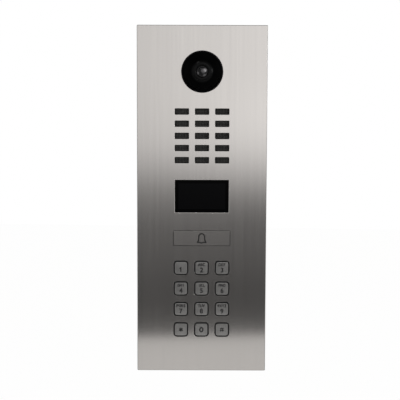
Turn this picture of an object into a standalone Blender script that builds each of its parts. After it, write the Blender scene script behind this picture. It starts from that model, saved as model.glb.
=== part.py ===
"""Flush door intercom panel with camera, speaker grille, sensor window, call button and keypad.

Metres, +Z up. The front faces -Y, and +X is to the right of someone who stands before it.
The origin is the middle of the in-wall box's rear face. Depths in the functions below are
measured from the wall's surface, negative towards the street and positive into the wall.
"""

import math

import bmesh
import bpy
from mathutils import Vector

MM = 0.001

# Fits
SEAT = 0.3 * MM
SCREW_CLEARANCE = 0.3 * MM

# Front panel: a steel pan whose rim meets the wall seal
SHEET = 2.0 * MM
EDGE_RADIUS = 0.5 * MM
PANEL_CORNER = 0.9 * MM
TOP_MARGIN = 23.1 * MM
BOTTOM_MARGIN = 32.2 * MM
CAMERA_TO_GRILLE = 14.25 * MM
GRILLE_TO_WINDOW = 15.4 * MM
WINDOW_TO_BUTTON = 16.85 * MM
BUTTON_TO_KEYS = 13.7 * MM
WALL_SEAL_THICKNESS = 1.2 * MM
WALL_SEAL_INSET = 0.5 * MM
WALL_SEAL_ROOM = 2.5 * MM
PANEL_OVERLAP = 8.0 * MM

# Camera eye
CAMERA_FLANGE_DIAMETER = 38.6 * MM
CAMERA_FLANGE_RING = 1.9 * MM
CAMERA_FLANGE_HEIGHT = 1.5 * MM
CAMERA_DOME_RISE = 9.0 * MM
CAMERA_NECK_WALL = 3.0 * MM
CAMERA_SEAL_WIDTH = 1.4 * MM
CAMERA_SEAL_LAND = 1.1 * MM
CAMERA_SEAL_THICKNESS = 0.8 * MM
LOCK_RING_THICKNESS = 4.0 * MM
LOCK_RING_WALL = 3.5 * MM
LENS_RING_FACE = 3.3 * MM
LENS_RING_LIP = 1.6 * MM
LENS_RING_THICKNESS = 1.4 * MM
LENS_GLASS_DIAMETER = 9.6 * MM
LENS_GLASS_EDGE = 0.6 * MM
LENS_GLASS_RISE = 2.0 * MM
LENS_SEAT_DEPTH = 1.6 * MM
LENS_BORE_DIAMETER = 5.0 * MM
HOLDER_FLANGE = 2.0 * MM
HOLDER_SLEEVE_WALL = 1.6 * MM
IMAGE_SENSOR_SIZE = 7.0 * MM
IMAGE_SENSOR_HEIGHT = 1.2 * MM

# Speaker grille and loudspeaker
SLOT_COLUMNS = 3
SLOT_ROWS = 5
SPEAKER_ROWS = 4
SLOT_WIDTH = 13.2 * MM
SLOT_HEIGHT = 5.85 * MM
SLOT_CORNER = 0.8 * MM
SLOT_GAP_X = 5.4 * MM
SLOT_GAP_Z = 5.35 * MM
MESH_LAP = 3.0 * MM
MESH_THICKNESS = 0.5 * MM
SPEAKER_DIAMETER = 40.0 * MM
SPEAKER_FLANGE = 2.0 * MM
SPEAKER_FLANGE_THICKNESS = 1.2 * MM
SPEAKER_GASKET_THICKNESS = 1.5 * MM
SPEAKER_BASKET_ROOM = 0.8 * MM
SPEAKER_BASKET_WALL = 1.0 * MM
CONE_THICKNESS = 0.6 * MM
CONE_DEPTH = 4.2 * MM
DUST_CAP_RISE = 2.0 * MM
CONE_TRAVEL = 0.5 * MM
COIL_RADIUS = 6.0 * MM
COIL_WALL = 0.6 * MM
COIL_LENGTH = 5.0 * MM
MAGNET_DIAMETER = 24.0 * MM
MAGNET_BACK = 2.8 * MM
MICROPHONE_DIAMETER = 6.0 * MM
MICROPHONE_HEIGHT = 2.5 * MM
BOOT_WALL = 1.8 * MM

# Sensor window and what looks out through it
WINDOW_WIDTH = 50.0 * MM
WINDOW_HEIGHT = 30.4 * MM
WINDOW_FIT = 0.15 * MM
WINDOW_RECESS = 0.3 * MM
WINDOW_FACE = 1.6 * MM
WINDOW_EDGE = 3.0 * MM
WINDOW_LAP = 3.5 * MM
WINDOW_FLANGE = 2.0 * MM
WINDOW_SEAL_THICKNESS = 0.8 * MM
MOTION_SENSOR_DIAMETER = 8.0 * MM
MOTION_SENSOR_HEIGHT = 2.2 * MM

# Call button and keys
BUTTON_WIDTH = 52.3 * MM
BUTTON_HEIGHT = 13.5 * MM
BUTTON_CORNER = 0.6 * MM
BUTTON_GAP = 0.45 * MM
BUTTON_PROUD = 0.2 * MM
KEY_COLUMNS = 3
KEY_NAMES = ("1", "2", "3", "4", "5", "6", "7", "8", "9", "star", "0", "hash")
KEY_SIZE = 11.2 * MM
KEY_CORNER = 2.0 * MM
KEY_GAP = 1.4 * MM
KEY_SPACING_X = 5.2 * MM
KEY_SPACING_Z = 5.45 * MM
KEY_PROUD = 0.7 * MM
KEY_CROWN = 0.15 * MM
PRESS_TRAVEL = 0.8 * MM
CAP_EDGE = 0.4 * MM
FLANGE_LAP = 0.9 * MM
FLANGE_THICKNESS = 1.2 * MM
DOME_PRESSED_HEIGHT = 1.6 * MM
DOME_BASE_DIAMETER = 9.0 * MM
DOME_TOP_DIAMETER = 6.0 * MM
DOME_TOP_THICKNESS = 1.2 * MM
DOME_WALL = 0.9 * MM
MAT_THICKNESS = 1.2 * MM
MAT_MARGIN = 4.0 * MM
MAT_RIM = 1.6 * MM
BACKPLATE_THICKNESS = 1.5 * MM
BACKPLATE_TOP_NOTCH = 10.0 * MM
BACKPLATE_EAR = 4.0 * MM
STANDOFF_DIAMETER = 6.0 * MM
STANDOFF_ROOM = 1.5 * MM
STANDOFF_FROM_END = 16.0 * MM
SCREW_DIAMETER = 3.0 * MM
SCREW_HEAD_DIAMETER = 5.6 * MM
SCREW_HEAD_HEIGHT = 1.8 * MM
SCREW_HEAD_EDGE = 0.6 * MM
SCREW_SOCKET_DIAMETER = 2.4 * MM
SCREW_SOCKET_DEPTH = 1.1 * MM
KEYPAD_SCREW_LENGTH = 6.0 * MM

# Main board and its parts
BOARD_THICKNESS = 1.6 * MM
BOARD_CLEARANCE = 4.0 * MM
BOARD_EDGE_ROOM = 2.0 * MM
POST_DIAMETER = 7.0 * MM
POST_INSET = 6.0 * MM
POST_THREAD = 6.0 * MM
HEAT_SINK_WIDTH = 32.0 * MM
HEAT_SINK_LENGTH = 30.0 * MM
HEAT_SINK_HEIGHT = 9.0 * MM
HEAT_SINK_BASE = 2.0 * MM
HEAT_SINK_FINS = 6
HEAT_SINK_FIN = 1.4 * MM
HEAT_SINK_Z = 70.0 * MM
TRANSFORMER_WIDTH = 19.0 * MM
TRANSFORMER_LENGTH = 16.0 * MM
TRANSFORMER_HEIGHT = 11.0 * MM
TRANSFORMER_X = -20.0 * MM
TRANSFORMER_Z = 10.0 * MM
CAPACITOR_DIAMETER = 10.0 * MM
CAPACITOR_HEIGHT = 11.5 * MM
CAPACITOR_X = 18.0 * MM
CAPACITOR_Z = 12.0 * MM
RELAY_WIDTH = 20.0 * MM
RELAY_LENGTH = 10.0 * MM
RELAY_HEIGHT = 11.0 * MM
RELAY_X = 18.0 * MM
RELAY_Z = -45.0 * MM
CONNECTORS_FROM_END = 47.0 * MM
CONNECTOR_SPACING = 6.0 * MM
CONNECTOR_ROOM = 1.5 * MM
JACK_WALL = 2.1 * MM
JACK_SHOULDER = 3.0 * MM
JACK_BASE = 5.0 * MM
JACK_PORT_WIDTH = 11.8 * MM
JACK_PORT_LENGTH = 8.0 * MM
JACK_PORT_DEPTH = 12.0 * MM
TERMINAL_POLES = 8
TERMINAL_PITCH = 3.5 * MM
TERMINAL_LENGTH = 10.0 * MM
TERMINAL_HEIGHT = 17.0 * MM
TERMINAL_HOLE = 2.2 * MM
TERMINAL_HOLE_DEPTH = 7.0 * MM
RIBBON_THICKNESS = 0.4 * MM
RIBBON_WIDTH = 18.0 * MM
RIBBON_LAP = 6.0 * MM

# Rear cover
COVER_WALL = 2.5 * MM
COVER_CORNER = 3.0 * MM
COVER_SEAL_THICKNESS = 1.5 * MM
COVER_SIDE_ROOM = 6.0 * MM
COVER_BOSS_DIAMETER = 7.5 * MM
COMPONENT_CLEARANCE = 1.5 * MM

# In-wall box, its hooks and its fixings
BOX_WALL = 1.5 * MM
BOX_CORNER = 2.0 * MM
BOX_CLEARANCE = 2.0 * MM
BOX_END_CLEARANCE = 5.0 * MM
CABLE_ROOM = 13.0 * MM
FIXING_HOLE_DIAMETER = 5.0 * MM
FIXING_HOLE_INSET_X = 16.0 * MM
FIXING_HOLE_INSET_Z = 26.0 * MM
KNOCKOUT_DIAMETER = 20.0 * MM
KNOCKOUT_DEPTH = 0.5 * MM
KNOCKOUT_Z = 70.0 * MM
GROMMET_HOLE_DIAMETER = 18.0 * MM
GROMMET_LIP = 2.2 * MM
GROMMET_LIP_THICKNESS = 1.4 * MM
GROMMET_MEMBRANE = 1.0 * MM
HOOK_X = 20.0 * MM
HOOK_WIDTH = 14.0 * MM
HOOK_GAP = 2.0 * MM
RAIL_THICKNESS = 1.5 * MM
RAIL_SETBACK = 0.2 * MM
RAIL_END = 5.0 * MM
LUG_X = 30.0 * MM
LUG_WIDTH = 12.0 * MM
LUG_BOSS_DIAMETER = 5.6 * MM
LUG_GAP = 2.0 * MM
LUG_ROOM = 1.2 * MM
TAB_INSET = 0.1 * MM

# Facets
CORNER_STEPS = 2
ROUND_STEPS = 28
SMALL_STEPS = 10
ARC_STEPS = 6
SMOOTH_ANGLE = math.radians(32)
MITRE_LIMIT = 0.5
WELD = 1e-7

# Across the panel, from the keypad outwards
key_opening = KEY_SIZE + 2 * KEY_GAP
key_pitch_x = key_opening + KEY_SPACING_X
key_pitch_z = key_opening + KEY_SPACING_Z
slot_pitch_x = SLOT_WIDTH + SLOT_GAP_X
slot_pitch_z = SLOT_HEIGHT + SLOT_GAP_Z
button_opening_width = BUTTON_WIDTH + 2 * BUTTON_GAP
button_opening_height = BUTTON_HEIGHT + 2 * BUTTON_GAP
key_rows = len(KEY_NAMES) // KEY_COLUMNS
keypad_width = (KEY_COLUMNS - 1) * key_pitch_x + key_opening
keypad_height = (key_rows - 1) * key_pitch_z + key_opening
mat_width = max(keypad_width, button_opening_width) + 2 * (FLANGE_LAP + MAT_MARGIN)
standoff_x = mat_width / 2 + STANDOFF_ROOM + STANDOFF_DIAMETER / 2
module_half_width = max(
    standoff_x + BACKPLATE_EAR,
    WINDOW_WIDTH / 2 + WINDOW_LAP,
    SPEAKER_DIAMETER / 2 + SPEAKER_FLANGE,
)
cover_inner_x = module_half_width + COVER_SIDE_ROOM
cover_x = cover_inner_x + COVER_WALL
box_x = cover_x + BOX_CLEARANCE + BOX_WALL
panel_x = box_x + PANEL_OVERLAP

# Up the panel, from the margins and the gaps between its openings
grille_width = (SLOT_COLUMNS - 1) * slot_pitch_x + SLOT_WIDTH
grille_height = (SLOT_ROWS - 1) * slot_pitch_z + SLOT_HEIGHT
panel_height = (
    TOP_MARGIN
    + CAMERA_FLANGE_DIAMETER
    + CAMERA_TO_GRILLE
    + grille_height
    + GRILLE_TO_WINDOW
    + WINDOW_HEIGHT
    + WINDOW_TO_BUTTON
    + button_opening_height
    + BUTTON_TO_KEYS
    + keypad_height
    + BOTTOM_MARGIN
)
panel_z = panel_height / 2
camera_z = panel_z - TOP_MARGIN - CAMERA_FLANGE_DIAMETER / 2
camera_neck = CAMERA_FLANGE_DIAMETER / 2 - CAMERA_SEAL_WIDTH - 2 * (SEAT + CAMERA_SEAL_LAND)
camera_board_size = 2 * camera_neck
grille_top = camera_z - CAMERA_FLANGE_DIAMETER / 2 - CAMERA_TO_GRILLE
grille_z = grille_top - grille_height / 2
window_z = grille_z - grille_height / 2 - GRILLE_TO_WINDOW - WINDOW_HEIGHT / 2
button_z = window_z - WINDOW_HEIGHT / 2 - WINDOW_TO_BUTTON - button_opening_height / 2
keypad_top = button_z - button_opening_height / 2 - BUTTON_TO_KEYS
keypad_bottom = keypad_top - keypad_height
mat_top = button_z + button_opening_height / 2 + FLANGE_LAP + MAT_MARGIN
mat_bottom = keypad_bottom - FLANGE_LAP - MAT_MARGIN
box_z = panel_z - PANEL_OVERLAP
cover_z = box_z - BOX_WALL - BOX_END_CLEARANCE
cover_inner_z = cover_z - COVER_WALL

# Through the wall, front to rear
panel_depth = SHEET + LUG_BOSS_DIAMETER + 2 * LUG_ROOM
rim_y = -(WALL_SEAL_THICKNESS + SEAT)
front_y = rim_y - panel_depth
back_y = front_y + SHEET
flange_front_y = back_y + SEAT
flange_back_y = flange_front_y + FLANGE_THICKNESS
dome_top_y = flange_back_y + SEAT
mat_front_y = dome_top_y + DOME_PRESSED_HEIGHT + PRESS_TRAVEL
mat_back_y = mat_front_y + MAT_THICKNESS
key_board_y = mat_back_y + SEAT
backplate_y = key_board_y + BOARD_THICKNESS + SEAT
backplate_back_y = backplate_y + BACKPLATE_THICKNESS
window_flange_y = back_y + WINDOW_SEAL_THICKNESS + 2 * SEAT
window_back_y = window_flange_y + WINDOW_FLANGE
mesh_back_y = back_y + SEAT + MESH_THICKNESS
basket_y = mesh_back_y + SPEAKER_GASKET_THICKNESS + 2 * SEAT
cone_y = basket_y + CONE_TRAVEL
basket_floor_y = cone_y + CONE_DEPTH + CONE_TRAVEL + SPEAKER_BASKET_ROOM
basket_back_y = basket_floor_y + SPEAKER_BASKET_WALL
magnet_y = basket_back_y + SEAT
coil_gap_y = max(cone_y + CONE_DEPTH + COIL_LENGTH + CONE_TRAVEL, magnet_y) + SEAT
magnet_back_y = coil_gap_y + MAGNET_BACK
neck_back_y = back_y + LOCK_RING_THICKNESS + 3 * SEAT
holder_back_y = neck_back_y + SEAT + HOLDER_FLANGE
camera_board_y = holder_back_y + SEAT
main_board_y = BOARD_CLEARANCE + max(
    backplate_back_y + SEAT + SCREW_HEAD_HEIGHT,
    magnet_back_y,
    camera_board_y + BOARD_THICKNESS,
)
main_board_back_y = main_board_y + BOARD_THICKNESS
parts_y = main_board_back_y + SEAT
tallest_part = max(HEAT_SINK_HEIGHT, TRANSFORMER_HEIGHT, CAPACITOR_HEIGHT, RELAY_HEIGHT)
cover_front_y = back_y + COVER_SEAL_THICKNESS + 2 * SEAT
cover_inner_y = parts_y + tallest_part + COMPONENT_CLEARANCE
cover_back_y = cover_inner_y + COVER_WALL
jack_width = JACK_PORT_WIDTH + 2 * JACK_WALL
jack_length = JACK_PORT_LENGTH + 2 * JACK_SHOULDER
jack_height = JACK_PORT_DEPTH + JACK_BASE
terminal_width = (TERMINAL_POLES + 1 / 2) * TERMINAL_PITCH
connector_width = jack_width + CONNECTOR_SPACING + terminal_width
connector_z = BOARD_EDGE_ROOM - cover_inner_z + CONNECTORS_FROM_END
jack_x = (jack_width - connector_width) / 2
terminal_x = (connector_width - terminal_width) / 2
connector_back_y = parts_y + max(jack_height, TERMINAL_HEIGHT)
box_inner_y = max(cover_back_y + SEAT + SCREW_HEAD_HEIGHT, connector_back_y) + CABLE_ROOM
box_depth = box_inner_y + BOX_WALL
rail_y = rim_y - RAIL_SETBACK - RAIL_THICKNESS
hook_back_y = rail_y - SEAT
fixing_screw_y = (back_y + rim_y) / 2


# Mesh tools


def round_rectangle(width, height, radius, center=(0.0, 0.0), steps=CORNER_STEPS):
    """Points of a rectangle with round corners, anticlockwise."""
    points = []
    for quarter, (side_x, side_z) in enumerate(((1, 1), (-1, 1), (-1, -1), (1, -1))):
        corner_x = center[0] + side_x * (width / 2 - radius)
        corner_z = center[1] + side_z * (height / 2 - radius)
        for step in range(steps + 1):
            angle = math.pi / 2 * (quarter + step / steps)
            points.append((corner_x + radius * math.cos(angle), corner_z + radius * math.sin(angle)))
    return points


def rectangle(width, height, center=(0.0, 0.0)):
    """Corners of a rectangle, anticlockwise."""
    return [
        (center[0] + side_x * width / 2, center[1] + side_z * height / 2)
        for side_x, side_z in ((1, 1), (-1, 1), (-1, -1), (1, -1))
    ]


def circle(diameter, center=(0.0, 0.0), steps=ROUND_STEPS):
    """Points of a circle, anticlockwise."""
    return [
        (
            center[0] + diameter / 2 * math.cos(2 * math.pi * step / steps),
            center[1] + diameter / 2 * math.sin(2 * math.pi * step / steps),
        )
        for step in range(steps)
    ]


def along_x(a, b, t):
    """Place a point of a depth-height outline at t across."""
    return (t, a, b)


def along_y(a, b, t):
    """Place a point of a front-view outline at depth t."""
    return (a, t, b)


def along_z(a, b, t):
    """Place a point of a plan outline at height t."""
    return (a, b, t)


def add_prism(bm, outline, start, end, holes=(), place=along_y):
    """Add a straight solid between two planes: an outline, less its holes."""
    edges = []
    for loop in (outline, *holes):
        verts = [bm.verts.new(place(a, b, start)) for a, b in loop]
        edges += [bm.edges.new(pair) for pair in zip(verts, verts[1:] + verts[:1])]
    filled = bmesh.ops.triangle_fill(bm, edges=edges, use_beauty=True)
    faces = [item for item in filled["geom"] if isinstance(item, bmesh.types.BMFace)]
    raised = bmesh.ops.extrude_face_region(bm, geom=faces)
    moved = [item for item in raised["geom"] if isinstance(item, bmesh.types.BMVert)]
    bmesh.ops.translate(bm, verts=moved, vec=place(0, 0, end - start))


def add_loft(bm, sections):
    """Add a closed skin over sections of as many points each: (outline, depth) from end to end."""
    rings = [[bm.verts.new((x, depth, z)) for x, z in outline] for outline, depth in sections]
    for ring, following in zip(rings, rings[1:]):
        for index in range(len(ring)):
            after = (index + 1) % len(ring)
            bm.faces.new((ring[index], ring[after], following[after], following[index]))
    bm.faces.new(rings[0])
    bm.faces.new(rings[-1])


def add_turned(bm, profile, center, steps=ROUND_STEPS, upright=False):
    """Add a turned solid: (radius, distance) points spun about Y, or about Z if upright.

    A profile that ends on the axis is left open there, and any other is a closed ring.
    """
    place = (lambda r, t: (r, 0, t)) if upright else (lambda r, t: (r, t, 0))
    verts = [bm.verts.new(Vector(place(r, t)) + Vector(center)) for r, t in profile]
    pairs = list(zip(verts, verts[1:]))
    if profile[0][0] > 0:
        pairs.append((verts[-1], verts[0]))
    edges = [bm.edges.new(pair) for pair in pairs]
    bmesh.ops.spin(
        bm,
        geom=verts + edges,
        cent=center,
        axis=(0, 0, 1) if upright else (0, 1, 0),
        angle=2 * math.pi,
        steps=steps,
        use_merge=True,
    )
    bmesh.ops.remove_doubles(bm, verts=bm.verts, dist=WELD)


def ribbon_outline(path, thickness):
    """Outline of a flat cable that follows a path of (depth, height) points."""
    points = [Vector(point) for point in path]
    sides = ([], [])
    for index, point in enumerate(points):
        before = points[max(index - 1, 0)]
        after = points[min(index + 1, len(points) - 1)]
        into = (point - before).normalized() if index else (after - point).normalized()
        out = (after - point).normalized() if index < len(points) - 1 else into
        normal = Vector((-(into + out).y, (into + out).x)).normalized()
        reach = thickness / 2 / max(normal.dot(Vector((-into.y, into.x))), MITRE_LIMIT)
        sides[0].append(tuple(point + normal * reach))
        sides[1].append(tuple(point - normal * reach))
    return sides[0] + sides[1][::-1]


def bulge(radius, rise, reach):
    """Height of a spherical cap of a radius and a rise, at a reach from its middle."""
    ball = (radius**2 + rise**2) / (2 * rise)
    return math.sqrt(ball**2 - reach**2) - ball + rise


def shares(steps):
    """Even shares from 0 to 1."""
    return [step / steps for step in range(steps + 1)]


# Objects


def make_material(name, colour, roughness, metallic=0.0):
    """A plain finish: its colour, roughness and metal."""
    material = bpy.data.materials.new(name)
    material.use_nodes = True
    shader = material.node_tree.nodes["Principled BSDF"]
    shader.inputs["Base Color"].default_value = (*colour, 1.0)
    shader.inputs["Roughness"].default_value = roughness
    shader.inputs["Metallic"].default_value = metallic
    return material


def make_object(name, bm, material, parent, location=(0, 0, 0)):
    """Turn a finished mesh into a named object under its parent."""
    bmesh.ops.recalc_face_normals(bm, faces=bm.faces)
    mesh = bpy.data.meshes.new(name)
    bm.to_mesh(mesh)
    bm.free()
    mesh.shade_smooth()
    mesh.set_sharp_from_angle(angle=SMOOTH_ANGLE)
    if material:
        mesh.materials.append(material)
    part = bpy.data.objects.new(name, mesh)
    part.parent = parent
    part.location = location
    bpy.context.scene.collection.objects.link(part)
    return part


def combine(part, operation, bm, name):
    """Cut a tool's solids out of a part, or join them to it."""
    tool = make_object(f"{part.name}_{name}", bm, None, part.parent, part.location)
    tool.hide_render = True
    tool.display_type = "WIRE"
    modifier = part.modifiers.new(name, "BOOLEAN")
    modifier.operation = operation
    modifier.solver = "EXACT"
    modifier.object = tool


def prism_object(name, material, parent, outline, start, end, holes=(), place=along_y):
    """A straight solid as an object."""
    bm = bmesh.new()
    add_prism(bm, outline, start, end, holes, place)
    return make_object(name, bm, material, parent)


def turned_object(name, material, parent, profile, center, steps=ROUND_STEPS, upright=False):
    """A turned solid as an object."""
    bm = bmesh.new()
    add_turned(bm, profile, center, steps, upright)
    return make_object(name, bm, material, parent)


# Places of what repeats


def slot_places():
    """Middle of each grille slot, row by row from the top left."""
    for row in range(SLOT_ROWS):
        for column in range(SLOT_COLUMNS):
            yield (
                (column - (SLOT_COLUMNS - 1) / 2) * slot_pitch_x,
                grille_top - SLOT_HEIGHT / 2 - row * slot_pitch_z,
            )


def key_places():
    """Name and middle of each key, row by row from the top left."""
    for index, name in enumerate(KEY_NAMES):
        row, column = divmod(index, KEY_COLUMNS)
        yield name, (
            (column - (KEY_COLUMNS - 1) / 2) * key_pitch_x,
            keypad_top - key_opening / 2 - row * key_pitch_z,
        )


def post_places():
    """Middle of each corner post that carries the main board and the rear cover."""
    for side_z in (1, -1):
        for side_x in (-1, 1):
            yield side_x * (cover_inner_x - POST_INSET), side_z * (cover_inner_z - POST_INSET)


def standoff_places():
    """Middle of each standoff that carries the keypad's backplate."""
    for z in (mat_top - STANDOFF_FROM_END, mat_bottom + STANDOFF_FROM_END):
        for side_x in (-1, 1):
            yield side_x * standoff_x, z


# Steelwork


def make_front_panel(finish, parent):
    """Folded steel pan with its openings, and the posts welded to its back."""
    width, height = 2 * panel_x, 2 * panel_z
    sections = []
    for share in shares(CORNER_STEPS):
        inset = EDGE_RADIUS * (1 - math.sin(math.pi / 2 * share))
        depth = front_y + EDGE_RADIUS * (1 - math.cos(math.pi / 2 * share))
        corner = PANEL_CORNER - min(inset, PANEL_CORNER / 2)
        sections.append((round_rectangle(width - 2 * inset, height - 2 * inset, corner), depth))
    inner = round_rectangle(width - 2 * SHEET, height - 2 * SHEET, PANEL_CORNER / 2)
    sections.append((round_rectangle(width, height, PANEL_CORNER), rim_y))
    sections.append((inner, rim_y))
    sections.append((inner, back_y))
    bm = bmesh.new()
    add_loft(bm, sections)
    panel = make_object("front_panel", bm, finish["steel"], parent)

    posts = bmesh.new()
    for place in post_places():
        outline = circle(POST_DIAMETER, place, SMALL_STEPS)
        add_prism(posts, outline, back_y - SHEET / 2, main_board_y - SEAT)
    for place in standoff_places():
        outline = circle(STANDOFF_DIAMETER, place, SMALL_STEPS)
        add_prism(posts, outline, back_y - SHEET / 2, backplate_y - SEAT)
    combine(panel, "UNION", posts, "posts")

    cuts = bmesh.new()
    outlines = [round_rectangle(SLOT_WIDTH, SLOT_HEIGHT, SLOT_CORNER, at) for at in slot_places()]
    outlines += [
        round_rectangle(key_opening, key_opening, KEY_CORNER + KEY_GAP, at) for _, at in key_places()
    ]
    outlines.append(
        round_rectangle(
            button_opening_width,
            button_opening_height,
            BUTTON_CORNER + BUTTON_GAP,
            (0, button_z),
        )
    )
    outlines.append(rectangle(WINDOW_WIDTH, WINDOW_HEIGHT, (0, window_z)))
    outlines.append(circle(2 * (camera_neck + SEAT), (0, camera_z)))
    for outline in outlines:
        add_prism(cuts, outline, front_y - SHEET, back_y + SHEET / 2)
    bore = SCREW_DIAMETER + 2 * SCREW_CLEARANCE
    for place in post_places():
        tip = main_board_y - SEAT - POST_THREAD - SEAT
        add_prism(cuts, circle(bore, place, SMALL_STEPS), tip, main_board_y + SEAT)
    for place in standoff_places():
        tip = backplate_back_y - KEYPAD_SCREW_LENGTH - SEAT
        add_prism(cuts, circle(bore, place, SMALL_STEPS), tip, backplate_y + SEAT)
    reach = SCREW_HEAD_DIAMETER / 2 + SCREW_CLEARANCE
    neck = SCREW_DIAMETER / 2 + SCREW_CLEARANCE
    for side in (-1, 1):
        profile = [
            (0, -panel_z - SHEET),
            (reach, -panel_z - SHEET),
            (reach, -panel_z),
            (neck, -panel_z + reach - neck),
            (neck, -panel_z + 2 * SHEET),
            (0, -panel_z + 2 * SHEET),
        ]
        add_turned(cuts, profile, (side * LUG_X, fixing_screw_y, 0), SMALL_STEPS, upright=True)
    combine(panel, "DIFFERENCE", cuts, "openings")


def make_back_box(finish, parent):
    """In-wall box with the hooks that the panel hangs on and the lugs that it is screwed to."""
    width, height = 2 * box_x, 2 * box_z
    outer = round_rectangle(width, height, BOX_CORNER)
    inner = round_rectangle(width - 2 * BOX_WALL, height - 2 * BOX_WALL, BOX_CORNER / 2)
    bm = bmesh.new()
    add_loft(bm, [(outer, box_depth), (outer, 0), (inner, 0), (inner, box_inner_y)])
    box = make_object("back_box", bm, finish["zinc"], parent)

    tabs = bmesh.new()
    tab_root = 2 * BOX_WALL
    top = (box_z - BOX_WALL + TAB_INSET, box_z - TAB_INSET)
    hook_top = panel_z - SHEET - HOOK_GAP
    boss_bottom = -panel_z + SHEET + LUG_GAP
    hook = [
        (tab_root, top[0]),
        (tab_root, top[1]),
        (hook_back_y, top[1]),
        (hook_back_y, hook_top),
        (hook_back_y - BOX_WALL, hook_top),
        (hook_back_y - BOX_WALL, top[0]),
    ]
    lug_front = back_y + LUG_ROOM / 2
    for side in (-1, 1):
        left = side * HOOK_X - HOOK_WIDTH / 2
        add_prism(tabs, hook, left, left + HOOK_WIDTH, place=along_x)
        middle = (side * LUG_X, (tab_root + lug_front) / 2)
        outline = rectangle(LUG_WIDTH, tab_root - lug_front, middle)
        add_prism(tabs, outline, -top[1], -top[0], place=along_z)
    combine(box, "UNION", tabs, "tabs")

    bosses = bmesh.new()
    bores = bmesh.new()
    for side in (-1, 1):
        middle = (side * LUG_X, fixing_screw_y)
        outline = circle(LUG_BOSS_DIAMETER, middle, SMALL_STEPS)
        add_prism(bosses, outline, boss_bottom, -box_z + BOX_WALL / 2, place=along_z)
        outline = circle(SCREW_DIAMETER + 2 * SCREW_CLEARANCE, middle, SMALL_STEPS)
        add_prism(bores, outline, boss_bottom - SEAT, -box_z + 2 * BOX_WALL, place=along_z)
    combine(box, "UNION", bosses, "bosses")

    fixing_x = box_x - FIXING_HOLE_INSET_X
    fixing_z = box_z - FIXING_HOLE_INSET_Z
    for side_x in (-1, 1):
        for side_z in (-1, 1):
            outline = circle(FIXING_HOLE_DIAMETER, (side_x * fixing_x, side_z * fixing_z), SMALL_STEPS)
            add_prism(bores, outline, box_inner_y - BOX_WALL, box_depth + BOX_WALL)
            outline = circle(KNOCKOUT_DIAMETER, (box_depth / 2, side_z * KNOCKOUT_Z), SMALL_STEPS)
            skin = side_x * (box_x - KNOCKOUT_DEPTH)
            add_prism(bores, outline, skin, side_x * (box_x + BOX_WALL), place=along_x)
    outline = circle(GROMMET_HOLE_DIAMETER, (0, box_depth / 2), ROUND_STEPS)
    add_prism(bores, outline, -box_z - BOX_WALL, -box_z + 2 * BOX_WALL, place=along_z)
    outline = circle(KNOCKOUT_DIAMETER, (0, box_depth / 2), SMALL_STEPS)
    add_prism(bores, outline, box_z - KNOCKOUT_DEPTH, box_z + BOX_WALL, place=along_z)
    combine(box, "DIFFERENCE", bores, "holes")


def make_wall_fittings(finish, parent):
    """Wall seal, hanger rail, cable grommet and the two fixing screws."""
    seal_x = panel_x - WALL_SEAL_INSET
    seal_z = panel_z - WALL_SEAL_INSET
    outline = round_rectangle(2 * seal_x, 2 * seal_z, PANEL_CORNER)
    hole = rectangle(2 * (box_x + WALL_SEAL_ROOM), 2 * (box_z + WALL_SEAL_ROOM))
    prism_object("wall_seal", finish["rubber"], parent, outline, -WALL_SEAL_THICKNESS, 0, [hole])

    rail_bottom = box_z + SEAT
    rail_top = panel_z - SHEET - SEAT
    rail_width = 2 * HOOK_X + HOOK_WIDTH + 2 * RAIL_END
    outline = rectangle(rail_width, rail_top - rail_bottom, (0, (rail_top + rail_bottom) / 2))
    prism_object("hanger_rail", finish["zinc"], parent, outline, rail_y, rail_y + RAIL_THICKNESS)

    body = GROMMET_HOLE_DIAMETER / 2 - SEAT
    lip = GROMMET_HOLE_DIAMETER / 2 + GROMMET_LIP
    throat = body - GROMMET_LIP
    under = -box_z - SEAT
    over = -box_z + BOX_WALL + SEAT
    profile = [
        (0, under),
        (throat, under),
        (throat, under - GROMMET_LIP_THICKNESS),
        (lip, under - GROMMET_LIP_THICKNESS),
        (lip, under),
        (body, under),
        (body, over),
        (lip, over),
        (lip, over + GROMMET_LIP_THICKNESS),
        (throat, over + GROMMET_LIP_THICKNESS),
        (throat, under + GROMMET_MEMBRANE),
        (0, under + GROMMET_MEMBRANE),
    ]
    turned_object("cable_grommet", finish["rubber"], parent, profile, (0, box_depth / 2, 0), upright=True)

    head = SCREW_HEAD_DIAMETER / 2
    shank = SCREW_DIAMETER / 2
    socket = SCREW_SOCKET_DIAMETER / 2
    profile = [
        (0, -panel_z + SCREW_SOCKET_DEPTH),
        (socket, -panel_z + SCREW_SOCKET_DEPTH),
        (socket, -panel_z),
        (head, -panel_z),
        (shank, -panel_z + head - shank),
        (shank, -box_z + BOX_WALL),
        (0, -box_z + BOX_WALL),
    ]
    for name, side in (("left", -1), ("right", 1)):
        center = (side * LUG_X, fixing_screw_y, 0)
        screw = f"security_screw_{name}"
        turned_object(screw, finish["screw"], parent, profile, center, SMALL_STEPS, upright=True)


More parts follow.
